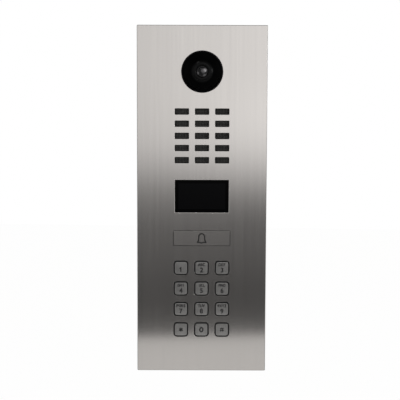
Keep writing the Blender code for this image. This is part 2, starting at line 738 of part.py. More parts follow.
def screw_profile(seat_y, length):
    """Pan-headed screw that comes in from the rear: its head on seat_y, its tip length further in."""
    head_y = seat_y + SEAT
    return [
        (0, seat_y - length),
        (SCREW_DIAMETER / 2, seat_y - length),
        (SCREW_DIAMETER / 2, head_y),
        (SCREW_HEAD_DIAMETER / 2, head_y),
        (SCREW_HEAD_DIAMETER / 2, head_y + SCREW_HEAD_HEIGHT - SCREW_HEAD_EDGE),
        (SCREW_HEAD_DIAMETER / 2 - SCREW_HEAD_EDGE, head_y + SCREW_HEAD_HEIGHT),
        (SCREW_SOCKET_DIAMETER / 2, head_y + SCREW_HEAD_HEIGHT),
        (SCREW_SOCKET_DIAMETER / 2, head_y + SCREW_HEAD_HEIGHT - SCREW_SOCKET_DEPTH),
        (0, head_y + SCREW_HEAD_HEIGHT - SCREW_SOCKET_DEPTH),
    ]


# Camera


def make_camera(finish, parent):
    """Camera eye: dome, seal and lock ring, lens, holder and image board."""
    center = (0, 0, camera_z)
    flange = CAMERA_FLANGE_DIAMETER / 2
    base = flange - CAMERA_FLANGE_RING
    hollow = camera_neck - CAMERA_NECK_WALL
    lens_ring = LENS_GLASS_DIAMETER / 2 + SEAT + LENS_RING_FACE
    lens_body = lens_ring - LENS_RING_LIP
    plateau = lens_ring + SEAT
    seat_y = front_y - SEAT
    flange_y = seat_y - CAMERA_FLANGE_HEIGHT
    dome = []
    for share in shares(ARC_STEPS):
        radius = base + (plateau - base) * share
        dome.append((radius, flange_y - bulge(base, CAMERA_DOME_RISE, radius)))
    lens_seat_y = dome[-1][1] + LENS_RING_THICKNESS / 2
    groove_in = camera_neck + CAMERA_SEAL_LAND
    groove_out = flange - CAMERA_SEAL_LAND
    groove_y = seat_y - CAMERA_SEAL_THICKNESS
    profile = [
        (hollow, neck_back_y),
        (camera_neck, neck_back_y),
        (camera_neck, seat_y),
        (groove_in, seat_y),
        (groove_in, groove_y),
        (groove_out, groove_y),
        (groove_out, seat_y),
        (flange, seat_y),
        (flange, flange_y + CAP_EDGE),
        (flange - CAP_EDGE, flange_y),
        *dome,
        (plateau, lens_seat_y),
        (lens_body + SEAT, lens_seat_y),
        (lens_body + SEAT, front_y),
        (hollow, front_y),
    ]
    turned_object("camera_dome", finish["black"], parent, profile, center)

    profile = [
        (groove_in + SEAT, groove_y + SEAT),
        (groove_out - SEAT, groove_y + SEAT),
        (groove_out - SEAT, front_y - SEAT / 2),
        (groove_in + SEAT, front_y - SEAT / 2),
    ]
    turned_object("camera_seal", finish["rubber"], parent, profile, center)

    ring_y = back_y + SEAT
    profile = [
        (camera_neck + SEAT, ring_y),
        (camera_neck + SEAT, ring_y + LOCK_RING_THICKNESS),
        (camera_neck + LOCK_RING_WALL, ring_y + LOCK_RING_THICKNESS),
        (camera_neck + LOCK_RING_WALL, ring_y),
    ]
    turned_object("camera_lock_ring", finish["black"], parent, profile, center)

    rim_front_y = lens_seat_y - SEAT - LENS_RING_THICKNESS
    glass_seat_y = rim_front_y + LENS_SEAT_DEPTH
    mouth = LENS_GLASS_DIAMETER / 2 + SEAT
    bore = LENS_BORE_DIAMETER / 2
    profile = [
        (bore, glass_seat_y),
        (mouth, glass_seat_y),
        (mouth, rim_front_y + CAP_EDGE),
        (mouth + CAP_EDGE, rim_front_y),
        (lens_ring - CAP_EDGE, rim_front_y),
        (lens_ring, rim_front_y + CAP_EDGE),
        (lens_ring, lens_seat_y - SEAT),
        (lens_body, lens_seat_y - SEAT),
        (lens_body, neck_back_y),
        (bore, neck_back_y),
    ]
    turned_object("lens_barrel", finish["black"], parent, profile, center)
    make_lens_glass(finish, parent, glass_seat_y - SEAT)

    sleeve = lens_body + SEAT
    sleeve_out = sleeve + HOLDER_SLEEVE_WALL
    holder_y = neck_back_y + SEAT
    profile = [
        (sleeve, back_y),
        (sleeve_out, back_y),
        (sleeve_out, holder_y),
        (camera_neck, holder_y),
        (camera_neck, holder_back_y),
        (sleeve, holder_back_y),
    ]
    turned_object("camera_holder", finish["black"], parent, profile, center)

    outline = rectangle(camera_board_size, camera_board_size, (0, camera_z))
    end = camera_board_y + BOARD_THICKNESS
    board = prism_object("camera_board", finish["board"], parent, outline, camera_board_y, end)
    chip = bmesh.new()
    outline = rectangle(IMAGE_SENSOR_SIZE, IMAGE_SENSOR_SIZE, (0, camera_z))
    chip_y = camera_board_y - IMAGE_SENSOR_HEIGHT
    add_prism(chip, outline, chip_y, camera_board_y + BOARD_THICKNESS / 2)
    combine(board, "UNION", chip, "sensor")


def make_lens_glass(finish, parent, seat_y):
    """Front element of the lens, bulging out of its ring."""
    radius = LENS_GLASS_DIAMETER / 2
    profile = []
    for share in shares(ARC_STEPS):
        rise = bulge(radius, LENS_GLASS_RISE, radius * share)
        profile.append((radius * share, seat_y - LENS_GLASS_EDGE - rise))
    profile += [(radius, seat_y), (0, seat_y)]
    turned_object("lens_glass", finish["glass"], parent, profile, (0, 0, camera_z))


# Sound


def make_speaker(finish, parent):
    """Mesh behind the slots, and the loudspeaker behind its upper rows."""
    outline = rectangle(grille_width + 2 * MESH_LAP, grille_height + 2 * MESH_LAP, (0, grille_z))
    prism_object("speaker_mesh", finish["mesh"], parent, outline, back_y + SEAT, mesh_back_y)

    speaker_z = grille_top - SLOT_HEIGHT / 2 - (SPEAKER_ROWS - 1) / 2 * slot_pitch_z
    center = (0, 0, speaker_z)
    mouth = SPEAKER_DIAMETER / 2
    flange = mouth + SPEAKER_FLANGE
    gasket_y = mesh_back_y + SEAT
    profile = [
        (mouth, gasket_y),
        (mouth, gasket_y + SPEAKER_GASKET_THICKNESS),
        (flange, gasket_y + SPEAKER_GASKET_THICKNESS),
        (flange, gasket_y),
    ]
    turned_object("speaker_gasket", finish["foam"], parent, profile, center)

    coil_out = COIL_RADIUS + COIL_WALL
    throat = coil_out + SEAT
    neck = MAGNET_DIAMETER / 2 - SPEAKER_BASKET_WALL
    step_y = basket_y + SPEAKER_FLANGE_THICKNESS
    shoulder_y = max(step_y, cone_y + CONE_THICKNESS + CONE_TRAVEL) + SEAT
    profile = [
        (mouth, basket_y),
        (flange, basket_y),
        (flange, step_y),
        (mouth + SPEAKER_BASKET_WALL, step_y),
        (mouth + SPEAKER_BASKET_WALL, shoulder_y),
        (neck + SPEAKER_BASKET_WALL, basket_back_y),
        (throat, basket_back_y),
        (throat, basket_floor_y),
        (neck, basket_floor_y),
        (mouth, shoulder_y),
    ]
    turned_object("speaker_basket", finish["anodised"], parent, profile, center)

    edge = mouth - 2 * SEAT
    throat_y = CONE_DEPTH - CONE_THICKNESS
    profile = []
    for share in shares(CORNER_STEPS):
        rise = bulge(COIL_RADIUS, DUST_CAP_RISE, COIL_RADIUS * share)
        profile.append((COIL_RADIUS * share, throat_y - rise))
    profile += [
        (edge - CONE_THICKNESS, 0),
        (edge, 0),
        (edge, CONE_THICKNESS),
        (coil_out, CONE_DEPTH),
        (coil_out, CONE_DEPTH + COIL_LENGTH),
        (COIL_RADIUS, CONE_DEPTH + COIL_LENGTH),
        (COIL_RADIUS, CONE_DEPTH),
        (0, CONE_DEPTH),
    ]
    bm = bmesh.new()
    add_turned(bm, profile, (0, 0, 0))
    make_object("speaker_cone", bm, finish["paper"], parent, (0, cone_y, speaker_z))

    profile = [
        (0, magnet_y),
        (COIL_RADIUS - SEAT, magnet_y),
        (COIL_RADIUS - SEAT, coil_gap_y),
        (coil_out + SEAT, coil_gap_y),
        (coil_out + SEAT, magnet_y),
        (MAGNET_DIAMETER / 2, magnet_y),
        (MAGNET_DIAMETER / 2, magnet_back_y),
        (0, magnet_back_y),
    ]
    turned_object("speaker_magnet", finish["zinc"], parent, profile, center)


def make_microphone(finish, parent):
    """Microphone in its rubber boot, behind the lowest slot on the left."""
    places = list(slot_places())
    x, z = places[(SLOT_ROWS - 1) * SLOT_COLUMNS]
    inner = MICROPHONE_DIAMETER / 2
    boot_y = mesh_back_y + SEAT
    lip_y = boot_y + BOOT_WALL / 2
    end_y = lip_y + 2 * SEAT + MICROPHONE_HEIGHT
    profile = [
        (inner / 2, boot_y),
        (inner + BOOT_WALL, boot_y),
        (inner + BOOT_WALL, end_y),
        (inner + SEAT, end_y),
        (inner + SEAT, lip_y),
        (inner / 2, lip_y),
    ]
    turned_object("microphone_boot", finish["rubber"], parent, profile, (x, 0, z), SMALL_STEPS)
    profile = [
        (0, lip_y + SEAT),
        (inner, lip_y + SEAT),
        (inner, lip_y + SEAT + MICROPHONE_HEIGHT),
        (0, lip_y + SEAT + MICROPHONE_HEIGHT),
    ]
    turned_object("microphone", finish["anodised"], parent, profile, (x, 0, z), SMALL_STEPS)


# Sensor window


def make_window(finish, parent):
    """Black window seated in the panel, with the reader board and motion sensor behind it."""
    middle = (0, window_z)
    boss = (WINDOW_WIDTH - 2 * WINDOW_FIT, WINDOW_HEIGHT - 2 * WINDOW_FIT)
    flange = (WINDOW_WIDTH + 2 * WINDOW_LAP, WINDOW_HEIGHT + 2 * WINDOW_LAP)
    hollow = (WINDOW_WIDTH - 2 * WINDOW_EDGE, WINDOW_HEIGHT - 2 * WINDOW_EDGE)
    face_y = front_y + WINDOW_RECESS
    bm = bmesh.new()
    add_loft(
        bm,
        [
            (rectangle(*boss, middle), face_y),
            (rectangle(*boss, middle), window_flange_y),
            (rectangle(*flange, middle), window_flange_y),
            (rectangle(*flange, middle), window_back_y),
            (rectangle(*hollow, middle), window_back_y),
            (rectangle(*hollow, middle), face_y + WINDOW_FACE),
        ],
    )
    make_object("sensor_window", bm, finish["window"], parent)

    hole = rectangle(WINDOW_WIDTH, WINDOW_HEIGHT, middle)
    outline = rectangle(*flange, middle)
    seal_y = back_y + SEAT
    seal_end = seal_y + WINDOW_SEAL_THICKNESS
    prism_object("window_seal", finish["foam"], parent, outline, seal_y, seal_end, [hole])

    board_y = window_back_y + SEAT
    prism_object("reader_board", finish["board"], parent, outline, board_y, board_y + BOARD_THICKNESS)
    can_y = board_y - SEAT
    outline = circle(MOTION_SENSOR_DIAMETER, middle, SMALL_STEPS)
    prism_object("motion_sensor", finish["zinc"], parent, outline, can_y - MOTION_SENSOR_HEIGHT, can_y)


# Buttons


def cap_sections(width, height, corner, proud, crown, flange_width, flange_height):
    """Sections of a push cap, from its crowned face back to its retaining flange."""
    sections = [(round_rectangle(width / 2, height / 2, corner / 2), -proud - crown)]
    for share in shares(CORNER_STEPS):
        inset = CAP_EDGE * (1 - math.sin(math.pi / 2 * share))
        depth = CAP_EDGE * (1 - math.cos(math.pi / 2 * share)) - proud
        sharper = corner - min(inset, corner / 2)
        outline = round_rectangle(width - 2 * inset, height - 2 * inset, sharper)
        sections.append((outline, depth))
    flange = round_rectangle(flange_width, flange_height, corner + FLANGE_LAP)
    flange_y = flange_front_y - front_y
    sections.append((round_rectangle(width, height, corner), flange_y))
    sections.append((flange, flange_y))
    sections.append((flange, flange_y + FLANGE_THICKNESS))
    return sections


def make_buttons(finish, parent):
    """Call button and the twelve keys, each held behind the panel by its flange."""
    bm = bmesh.new()
    flange_width = button_opening_width + 2 * FLANGE_LAP
    flange_height = button_opening_height + 2 * FLANGE_LAP
    add_loft(
        bm,
        cap_sections(
            BUTTON_WIDTH,
            BUTTON_HEIGHT,
            BUTTON_CORNER,
            BUTTON_PROUD,
            0.0,
            flange_width,
            flange_height,
        ),
    )
    make_object("call_button", bm, finish["steel"], parent, (0, front_y, button_z))
    flange = key_opening + 2 * FLANGE_LAP
    for name, (x, z) in key_places():
        bm = bmesh.new()
        add_loft(
            bm,
            cap_sections(KEY_SIZE, KEY_SIZE, KEY_CORNER, KEY_PROUD, KEY_CROWN, flange, flange),
        )
        make_object(f"key_{name}", bm, finish["key"], parent, (x, front_y, z))


def dome_places():
    """Middle of each rubber dome: three under the call button, one under each key."""
    for share in (-1, 0, 1):
        yield share * BUTTON_WIDTH / 3, button_z
    for _, place in key_places():
        yield place


def make_keypad(finish, parent):
    """Rubber mat with a dome under each key, its contact board and the backplate that holds both."""
    middle = (0, (mat_top + mat_bottom) / 2)
    size = (mat_width, mat_top - mat_bottom)
    outer = rectangle(*size, middle)
    inner = rectangle(size[0] - 2 * MAT_RIM, size[1] - 2 * MAT_RIM, middle)
    bm = bmesh.new()
    add_loft(
        bm,
        [
            (outer, mat_back_y),
            (outer, back_y + SEAT),
            (inner, back_y + SEAT),
            (inner, mat_front_y),
        ],
    )
    mat = make_object("keypad_mat", bm, finish["rubber"], parent)
    domes = bmesh.new()
    pockets = bmesh.new()
    pocket = DOME_TOP_DIAMETER - 2 * DOME_WALL
    for place in dome_places():
        add_loft(
            domes,
            [
                (circle(DOME_TOP_DIAMETER, place, SMALL_STEPS), dome_top_y),
                (circle(DOME_BASE_DIAMETER, place, SMALL_STEPS), mat_front_y),
                (circle(DOME_BASE_DIAMETER, place, SMALL_STEPS), mat_front_y + MAT_THICKNESS / 2),
            ],
        )
        outline = circle(pocket, place, SMALL_STEPS // 2)
        add_prism(pockets, outline, dome_top_y + DOME_TOP_THICKNESS, mat_back_y + MAT_THICKNESS)
    combine(mat, "UNION", domes, "domes")
    combine(mat, "DIFFERENCE", pockets, "pockets")

    end = key_board_y + BOARD_THICKNESS
    prism_object("keypad_board", finish["board"], parent, outer, key_board_y, end)

    plate_top = mat_top - BACKPLATE_TOP_NOTCH
    outline = rectangle(mat_width, plate_top - mat_bottom, (0, (plate_top + mat_bottom) / 2))
    plate = prism_object(
        "keypad_backplate", finish["zinc"], parent, outline, backplate_y, backplate_back_y
    )
    ears = bmesh.new()
    bores = bmesh.new()
    for x, z in standoff_places():
        side = math.copysign(1, x)
        reach = standoff_x + BACKPLATE_EAR - mat_width / 4
        ear = rectangle(reach, 2 * BACKPLATE_EAR, (side * (mat_width / 4 + reach / 2), z))
        add_prism(ears, ear, backplate_y + TAB_INSET, backplate_back_y - TAB_INSET)
        bore = circle(SCREW_DIAMETER + 2 * SCREW_CLEARANCE, (x, z), SMALL_STEPS)
        add_prism(bores, bore, backplate_y - SEAT, backplate_back_y + SEAT)
    combine(plate, "UNION", ears, "ears")
    combine(plate, "DIFFERENCE", bores, "bores")
    profile = screw_profile(backplate_back_y, KEYPAD_SCREW_LENGTH)
    for number, (x, z) in enumerate(standoff_places(), 1):
        name = f"keypad_screw_{number}"
        turned_object(name, finish["screw"], parent, profile, (x, 0, z), SMALL_STEPS)


# Electronics


def make_ribbon(name, finish, parent, board_back_y, lap_z, bend_z):
    """Flat cable from the back of a front board to the front of the main board."""
    start_y = board_back_y + SEAT + RIBBON_THICKNESS / 2
    end_y = main_board_y - SEAT - RIBBON_THICKNESS / 2
    path = [(start_y, lap_z), (start_y, bend_z), (end_y, bend_z), (end_y, bend_z + bend_z - lap_z)]
    outline = ribbon_outline(path, RIBBON_THICKNESS)
    prism_object(
        name, finish["ribbon"], parent, outline, -RIBBON_WIDTH / 2, RIBBON_WIDTH / 2, place=along_x
    )


def make_electronics(finish, parent):
    """Main board on its posts, with what it carries, and the flat cables to the front boards."""
    outline = rectangle(2 * (cover_inner_x - BOARD_EDGE_ROOM), 2 * (cover_inner_z - BOARD_EDGE_ROOM))
    bore = SCREW_DIAMETER + 2 * SCREW_CLEARANCE
    holes = [circle(bore, place, SMALL_STEPS) for place in post_places()]
    prism_object(
        "main_board", finish["board"], parent, outline, main_board_y, main_board_back_y, holes
    )

    fin_gap = (HEAT_SINK_WIDTH - HEAT_SINK_FIN) / (HEAT_SINK_FINS - 1)
    comb = [(HEAT_SINK_WIDTH / 2, parts_y), (-HEAT_SINK_WIDTH / 2, parts_y)]
    for fin in range(HEAT_SINK_FINS):
        left = -HEAT_SINK_WIDTH / 2 + fin * fin_gap
        right = left + HEAT_SINK_FIN
        root_y = parts_y + HEAT_SINK_BASE
        tip_y = parts_y + HEAT_SINK_HEIGHT
        comb += [(left, root_y), (left, tip_y), (right, tip_y), (right, root_y)]
    ends = (HEAT_SINK_Z - HEAT_SINK_LENGTH / 2, HEAT_SINK_Z + HEAT_SINK_LENGTH / 2)
    prism_object("heat_sink", finish["anodised"], parent, comb, *ends, place=along_z)

    outline = rectangle(TRANSFORMER_WIDTH, TRANSFORMER_LENGTH, (TRANSFORMER_X, TRANSFORMER_Z))
    prism_object(
        "transformer", finish["yellow"], parent, outline, parts_y, parts_y + TRANSFORMER_HEIGHT
    )
    profile = [
        (0, parts_y),
        (CAPACITOR_DIAMETER / 2, parts_y),
        (CAPACITOR_DIAMETER / 2, parts_y + CAPACITOR_HEIGHT - CAP_EDGE),
        (CAPACITOR_DIAMETER / 2 - CAP_EDGE, parts_y + CAPACITOR_HEIGHT),
        (0, parts_y + CAPACITOR_HEIGHT),
    ]
    center = (CAPACITOR_X, 0, CAPACITOR_Z)
    turned_object("capacitor", finish["anodised"], parent, profile, center, SMALL_STEPS)
    outline = rectangle(RELAY_WIDTH, RELAY_LENGTH, (RELAY_X, RELAY_Z))
    prism_object("relay", finish["black"], parent, outline, parts_y, parts_y + RELAY_HEIGHT)
    make_connectors(finish, parent)

    camera_back = camera_board_y + BOARD_THICKNESS
    camera_edge = camera_z - camera_board_size / 2
    make_ribbon("camera_cable", finish, parent, camera_back, camera_edge + RIBBON_LAP, camera_edge)
    keypad_back = key_board_y + BOARD_THICKNESS
    make_ribbon("keypad_cable", finish, parent, keypad_back, mat_top - RIBBON_LAP, mat_top)


def make_connectors(finish, parent):
    """Network jack and terminal block, which reach out through the rear cover."""
    outline = rectangle(jack_width, jack_length, (jack_x, connector_z))
    port = rectangle(JACK_PORT_WIDTH, JACK_PORT_LENGTH, (jack_x, connector_z))
    end = parts_y + jack_height
    bm = bmesh.new()
    add_loft(bm, [(outline, parts_y), (outline, end), (port, end), (port, end - JACK_PORT_DEPTH)])
    make_object("network_jack", bm, finish["zinc"], parent)

    outline = rectangle(terminal_width, TERMINAL_LENGTH, (terminal_x, connector_z))
    end = parts_y + TERMINAL_HEIGHT
    terminal = prism_object("terminal_block", finish["green"], parent, outline, parts_y, end)
    holes = bmesh.new()
    for pole in range(TERMINAL_POLES):
        x = terminal_x + (pole - (TERMINAL_POLES - 1) / 2) * TERMINAL_PITCH
        for side in (-1, 1):
            z = connector_z + side * TERMINAL_LENGTH / 4
            hole = rectangle(TERMINAL_HOLE, TERMINAL_HOLE, (x, z))
            add_prism(holes, hole, end - TERMINAL_HOLE_DEPTH, end + SEAT)
    combine(terminal, "DIFFERENCE", holes, "wire_holes")


# Rear cover


def make_rear_cover(finish, parent):
    """Plastic shell over the electronics, with its gasket and screws."""
    outer = round_rectangle(2 * cover_x, 2 * cover_z, COVER_CORNER)
    inner = round_rectangle(2 * cover_inner_x, 2 * cover_inner_z, COVER_CORNER / 2)
    edge = round_rectangle(2 * (cover_x - COVER_WALL / 2), 2 * (cover_z - COVER_WALL / 2), COVER_CORNER)
    bm = bmesh.new()
    add_loft(
        bm,
        [
            (edge, cover_back_y),
            (outer, cover_back_y - COVER_WALL / 2),
            (outer, cover_front_y),
            (inner, cover_front_y),
            (inner, cover_inner_y),
        ],
    )
    cover = make_object("rear_cover", bm, finish["black"], parent)
    bosses = bmesh.new()
    cuts = bmesh.new()
    for place in post_places():
        boss = circle(COVER_BOSS_DIAMETER, place, SMALL_STEPS)
        add_prism(bosses, boss, main_board_back_y + SEAT, cover_inner_y + COVER_WALL / 2)
        bore = circle(SCREW_DIAMETER + 2 * SCREW_CLEARANCE, place, SMALL_STEPS)
        add_prism(cuts, bore, main_board_y, cover_back_y + COVER_WALL)
    height = max(jack_length, TERMINAL_LENGTH) + 2 * CONNECTOR_ROOM
    opening = rectangle(connector_width + 2 * CONNECTOR_ROOM, height, (0, connector_z))
    add_prism(cuts, opening, cover_inner_y - COVER_WALL, cover_back_y + COVER_WALL)
    combine(cover, "UNION", bosses, "bosses")
    combine(cover, "DIFFERENCE", cuts, "cuts")

    seal_y = back_y + SEAT
    seal_end = seal_y + COVER_SEAL_THICKNESS
    prism_object("cover_gasket", finish["foam"], parent, outer, seal_y, seal_end, [inner])
    length = cover_back_y - (main_board_y - SEAT) + POST_THREAD
    profile = screw_profile(cover_back_y, length)
    for number, (x, z) in enumerate(post_places(), 1):
        name = f"cover_screw_{number}"
        turned_object(name, finish["screw"], parent, profile, (x, 0, z), SMALL_STEPS)


FINISHES = {
    "steel": ((0.60, 0.59, 0.57), 0.34, 1.0),
    "key": ((0.58, 0.57, 0.56), 0.42, 1.0),
    "zinc": ((0.55, 0.56, 0.57), 0.45, 1.0),
    "screw": ((0.50, 0.50, 0.50), 0.35, 1.0),
    "anodised": ((0.10, 0.10, 0.11), 0.50, 1.0),
    "black": ((0.012, 0.012, 0.013), 0.25, 0.0),
    "window": ((0.005, 0.005, 0.006), 0.08, 0.0),
    "glass": ((0.02, 0.02, 0.03), 0.03, 0.0),
    "mesh": ((0.03, 0.03, 0.03), 0.60, 0.5),
    "rubber": ((0.02, 0.02, 0.02), 0.80, 0.0),
    "foam": ((0.03, 0.03, 0.03), 0.95, 0.0),
    "paper": ((0.05, 0.05, 0.05), 0.90, 0.0),
    "board": ((0.02, 0.12, 0.05), 0.45, 0.0),
    "ribbon": ((0.75, 0.75, 0.72), 0.50, 0.0),
    "yellow": ((0.60, 0.45, 0.08), 0.50, 0.0),
    "green": ((0.04, 0.25, 0.08), 0.50, 0.0),
}


def main():
    """Clear the scene and build the panel."""
    for old in list(bpy.data.objects):
        bpy.data.objects.remove(old, do_unlink=True)
    finish = {name: make_material(name, *values) for name, values in FINISHES.items()}
    wall = bpy.data.objects.new("wall_surface", None)
    wall.location = (0, -box_depth, 0)
    bpy.context.scene.collection.objects.link(wall)
    make_front_panel(finish, wall)
    make_camera(finish, wall)
    make_speaker(finish, wall)
    make_microphone(finish, wall)
    make_window(finish, wall)
    make_buttons(finish, wall)
    make_keypad(finish, wall)
    make_electronics(finish, wall)
    make_rear_cover(finish, wall)
    make_wall_fittings(finish, wall)
    make_back_box(finish, wall)


main()
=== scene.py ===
"""Looks of a flush door intercom panel, dressed over its packed solids.

Laid out as a Blender add-on and run as a script. Metres, +Z up. The front faces -Y, and +X is to
the right of someone who stands before the door. Outlines are (x, z) points as seen from the front.
"""

import math

import bmesh
import bpy
from bpy.props import FloatProperty, FloatVectorProperty, IntProperty, PointerProperty
from mathutils import Matrix, Quaternion, Vector
from mathutils.geometry import delaunay_2d_cdt


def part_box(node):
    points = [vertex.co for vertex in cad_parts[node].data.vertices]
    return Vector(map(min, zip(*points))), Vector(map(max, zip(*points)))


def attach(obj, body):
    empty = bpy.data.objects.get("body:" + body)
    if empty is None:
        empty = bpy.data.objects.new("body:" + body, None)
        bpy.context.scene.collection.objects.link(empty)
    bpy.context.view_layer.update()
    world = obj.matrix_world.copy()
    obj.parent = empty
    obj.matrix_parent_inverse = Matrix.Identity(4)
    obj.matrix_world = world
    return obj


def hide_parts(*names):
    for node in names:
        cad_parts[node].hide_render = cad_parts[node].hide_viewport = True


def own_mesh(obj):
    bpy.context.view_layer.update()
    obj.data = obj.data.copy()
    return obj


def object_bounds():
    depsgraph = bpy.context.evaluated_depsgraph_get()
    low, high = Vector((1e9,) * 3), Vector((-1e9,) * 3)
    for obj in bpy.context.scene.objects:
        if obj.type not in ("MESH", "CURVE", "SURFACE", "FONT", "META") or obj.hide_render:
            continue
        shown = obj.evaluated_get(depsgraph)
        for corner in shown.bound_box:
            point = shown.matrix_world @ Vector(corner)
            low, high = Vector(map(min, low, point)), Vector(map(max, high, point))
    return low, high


bl_info = {
    "name": "Door intercom panel",
    "version": (1, 0, 0),
    "blender": (4, 5, 0),
    "location": "3D View > Sidebar > Intercom",
    "description": "Dresses the solids of a flush door intercom panel",
    "category": "Object",
}

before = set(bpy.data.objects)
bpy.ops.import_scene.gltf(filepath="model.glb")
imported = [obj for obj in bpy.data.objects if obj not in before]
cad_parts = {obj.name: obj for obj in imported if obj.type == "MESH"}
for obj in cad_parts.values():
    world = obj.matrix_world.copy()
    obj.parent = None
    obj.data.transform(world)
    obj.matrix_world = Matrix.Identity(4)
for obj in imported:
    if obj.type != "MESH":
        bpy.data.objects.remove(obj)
cad_low, cad_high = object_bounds()

MM = 0.001
HOUSING = "housing"

# Letters above the digit of each key
KEY_LETTERS = {
    "1": "",
    "2": "ABC",
    "3": "DEF",
    "4": "GHI",
    "5": "JKL",
    "6": "MNO",
    "7": "PQRS",
    "8": "TUV",
    "9": "WXYZ",
    "star": "",
    "0": "",
    "hash": "",
}

# Facets and tolerances
CORNER_STEPS = 6
EDGE_STEPS = 4
CAP_STEPS = 8
DOME_STEPS = 28
LENS_STEPS = 20
MOUTH_STEPS = 8
PRINT_STEPS = 4
ROUND_STEPS = 96
SMALL_STEPS = 32
SMOOTH_ANGLE = math.radians(35)
BEVEL_ANGLE = math.radians(40)
FLAT_ANGLE = math.radians(1)
WELD = 1e-7
CAP_FACE = 0.99
MITRE_LIMIT = 0.5
INSIDE_LOOPS = 1

# Fits that the solids share
SEAT = 0.3 * MM
SKIN = 0.1 * MM
SHEET = 2.0 * MM
SHANK = 1.5 * MM

# Painted highlights in the lens: (x, z) from its axis, radius and level
LENS_GLINTS = (
    ((1.1 * MM, 0.6 * MM), 3.0 * MM, 0.34),
    ((2.7 * MM, 1.2 * MM), 1.9 * MM, 0.75),
    ((-4.2 * MM, -1.6 * MM), 1.7 * MM, 0.4),
    ((2.3 * MM, -3.8 * MM), 2.1 * MM, 0.35),
)

# Level of the studio from below the panel to above it, as (place, level) stops, and how far the
# brighter right side takes part at each height
STUDIO_BAND = 0.25
STUDIO_LEVELS = (
    (0.03, 0.145),
    (0.07, 0.105),
    (0.105, 0.068),
    (0.13, 0.06),
    (0.16, 0.078),
    (0.27, 0.146),
    (0.32, 0.272),
    (0.37, 0.655),
    (0.41, 0.89),
    (0.46, 0.955),
)
STUDIO_LEAN = ((0.295, 0.0), (0.33, 1.0), (0.46, 1.0), (0.55, 0.55))


# Settings


def number(name, description, default, **limits):
    """A number that a user may change."""
    return FloatProperty(name=name, description=description, default=default, **limits)


def length(name, description, default):
    """A length that a user may change."""
    return number(name, description, default, min=0.0, precision=5, unit="LENGTH")


def share(name, description, default):
    """A share between none and all that a user may change."""
    return number(name, description, default, min=0.0, max=1.0, subtype="FACTOR")


def degrees(name, description, default):
    """An angle that a user may change, given in degrees."""
    return number(name, description, math.radians(default), subtype="ANGLE")


def tone(name, description, default):
    """A colour that a user may change."""
    limits = {"min": 0.0, "max": 1.0, "subtype": "COLOR"}
    return FloatVectorProperty(name=name, description=description, default=default, **limits)


def count(name, description, default, least=1):
    """A count that a user may change."""
    return IntProperty(name=name, description=description, default=default, min=least)


class FrontSizes(bpy.types.PropertyGroup):
    """Sizes of what shows on the front."""

    panel_edge: length("Panel edge", "Radius of the panel's outer edge", 0.5 * MM)
    panel_corner: length("Panel corner", "Radius of the panel's corners", 0.9 * MM)
    opening_edge: length("Opening edge", "Radius that breaks the edge of an opening", 0.08 * MM)
    slot_width: length("Slot width", "Width of a speaker slot", 13.2 * MM)
    slot_height: length("Slot height", "Height of a speaker slot", 5.85 * MM)
    slot_corner: length("Slot corner", "Radius of a speaker slot's corners", 0.8 * MM)
    slot_pitch_x: length("Slot pitch across", "From one slot to the next across", 18.6 * MM)
    slot_pitch_z: length("Slot pitch up", "From one slot to the next upwards", 11.2 * MM)
    slot_columns: count("Slot columns", "Slots side by side", 3)
    slot_rows: count("Slot rows", "Slots above each other", 5)
    wire_count: count("Wires", "Spaces between the wires across the mesh", 40, least=2)
    wire_diameter: length("Wire", "Diameter of the mesh's wire", 0.25 * MM)
    cloth_thickness: length("Cloth", "Thickness of the cloth behind the mesh", 0.02 * MM)
    window_lap: length("Window lap", "Width of the window's flange behind the panel", 3.5 * MM)
    window_fit: length("Window fit", "Gap round the window", 0.15 * MM)
    window_edge: length("Window edge", "Radius of the window's front edge", 0.3 * MM)
    window_bevel: length("Window bevel", "Radius of the edge of the window's opening", 0.4 * MM)
    window_border: length("Window border", "Width of the black print round the window", 3.2 * MM)
    window_flange: length("Window flange", "Thickness of the window's flange", 2.0 * MM)
    window_pane: length("Window pane", "Thickness of the pane before its sensors", 1.6 * MM)
    window_wall: length("Window wall", "Thickness of the walls round its hollow", 3.0 * MM)
    button_gap: length("Button gap", "Gap round the call button", 0.45 * MM)
    button_corner: length("Button corner", "Radius of the call button's corners", 0.6 * MM)
    button_edge: length("Button edge", "Radius of the call button's front edge", 0.02 * MM)
    key_gap: length("Key gap", "Gap round a key", 1.4 * MM)
    key_corner: length("Key corner", "Radius of a key's corners", 2.0 * MM)
    key_edge: length("Key edge", "Radius of a key's front edge", 0.15 * MM)
    key_crown: length("Key crown", "How far a key's middle stands above its edge", 0.07 * MM)
    flange_lap: length("Flange lap", "How far a button's flange reaches behind the panel", 0.9 * MM)
    flange_thickness: length("Flange thickness", "Thickness of a button's flange", 1.2 * MM)


class EyeSizes(bpy.types.PropertyGroup):
    """Sizes of the camera eye."""

    flange_rim: length("Flange rim", "Width of the flange outside the dome", 1.9 * MM)
    flange_thickness: length("Flange thickness", "Thickness of the flange", 1.5 * MM)
    flange_edge: length("Flange edge", "Radius of the flange's outer edge", 0.45 * MM)
    dome_rise: length("Dome rise", "How high the dome would rise over its flange", 9.0 * MM)
    groove: length("Groove", "Depth of the groove round the dome", 0.25 * MM)
    neck_wall: length("Neck wall", "Wall of the neck that goes through the panel", 3.0 * MM)
    ring_seat: length("Ring seat", "Depth of the lens ring's seat in the dome", 0.7 * MM)
    ring_lap: length("Ring lap", "Width of the lens ring's shoulder", 1.6 * MM)
    ring_edge: length("Ring edge", "Radius of the lens ring's outer edge", 0.4 * MM)
    mouth_edge: length("Mouth edge", "Radius of the lens ring's mouth", 1.2 * MM)
    lens_bore: length("Lens bore", "Radius of the bore behind the lens", 2.5 * MM)
    lens_rise: length("Lens rise", "How far the front lens bulges", 2.0 * MM)


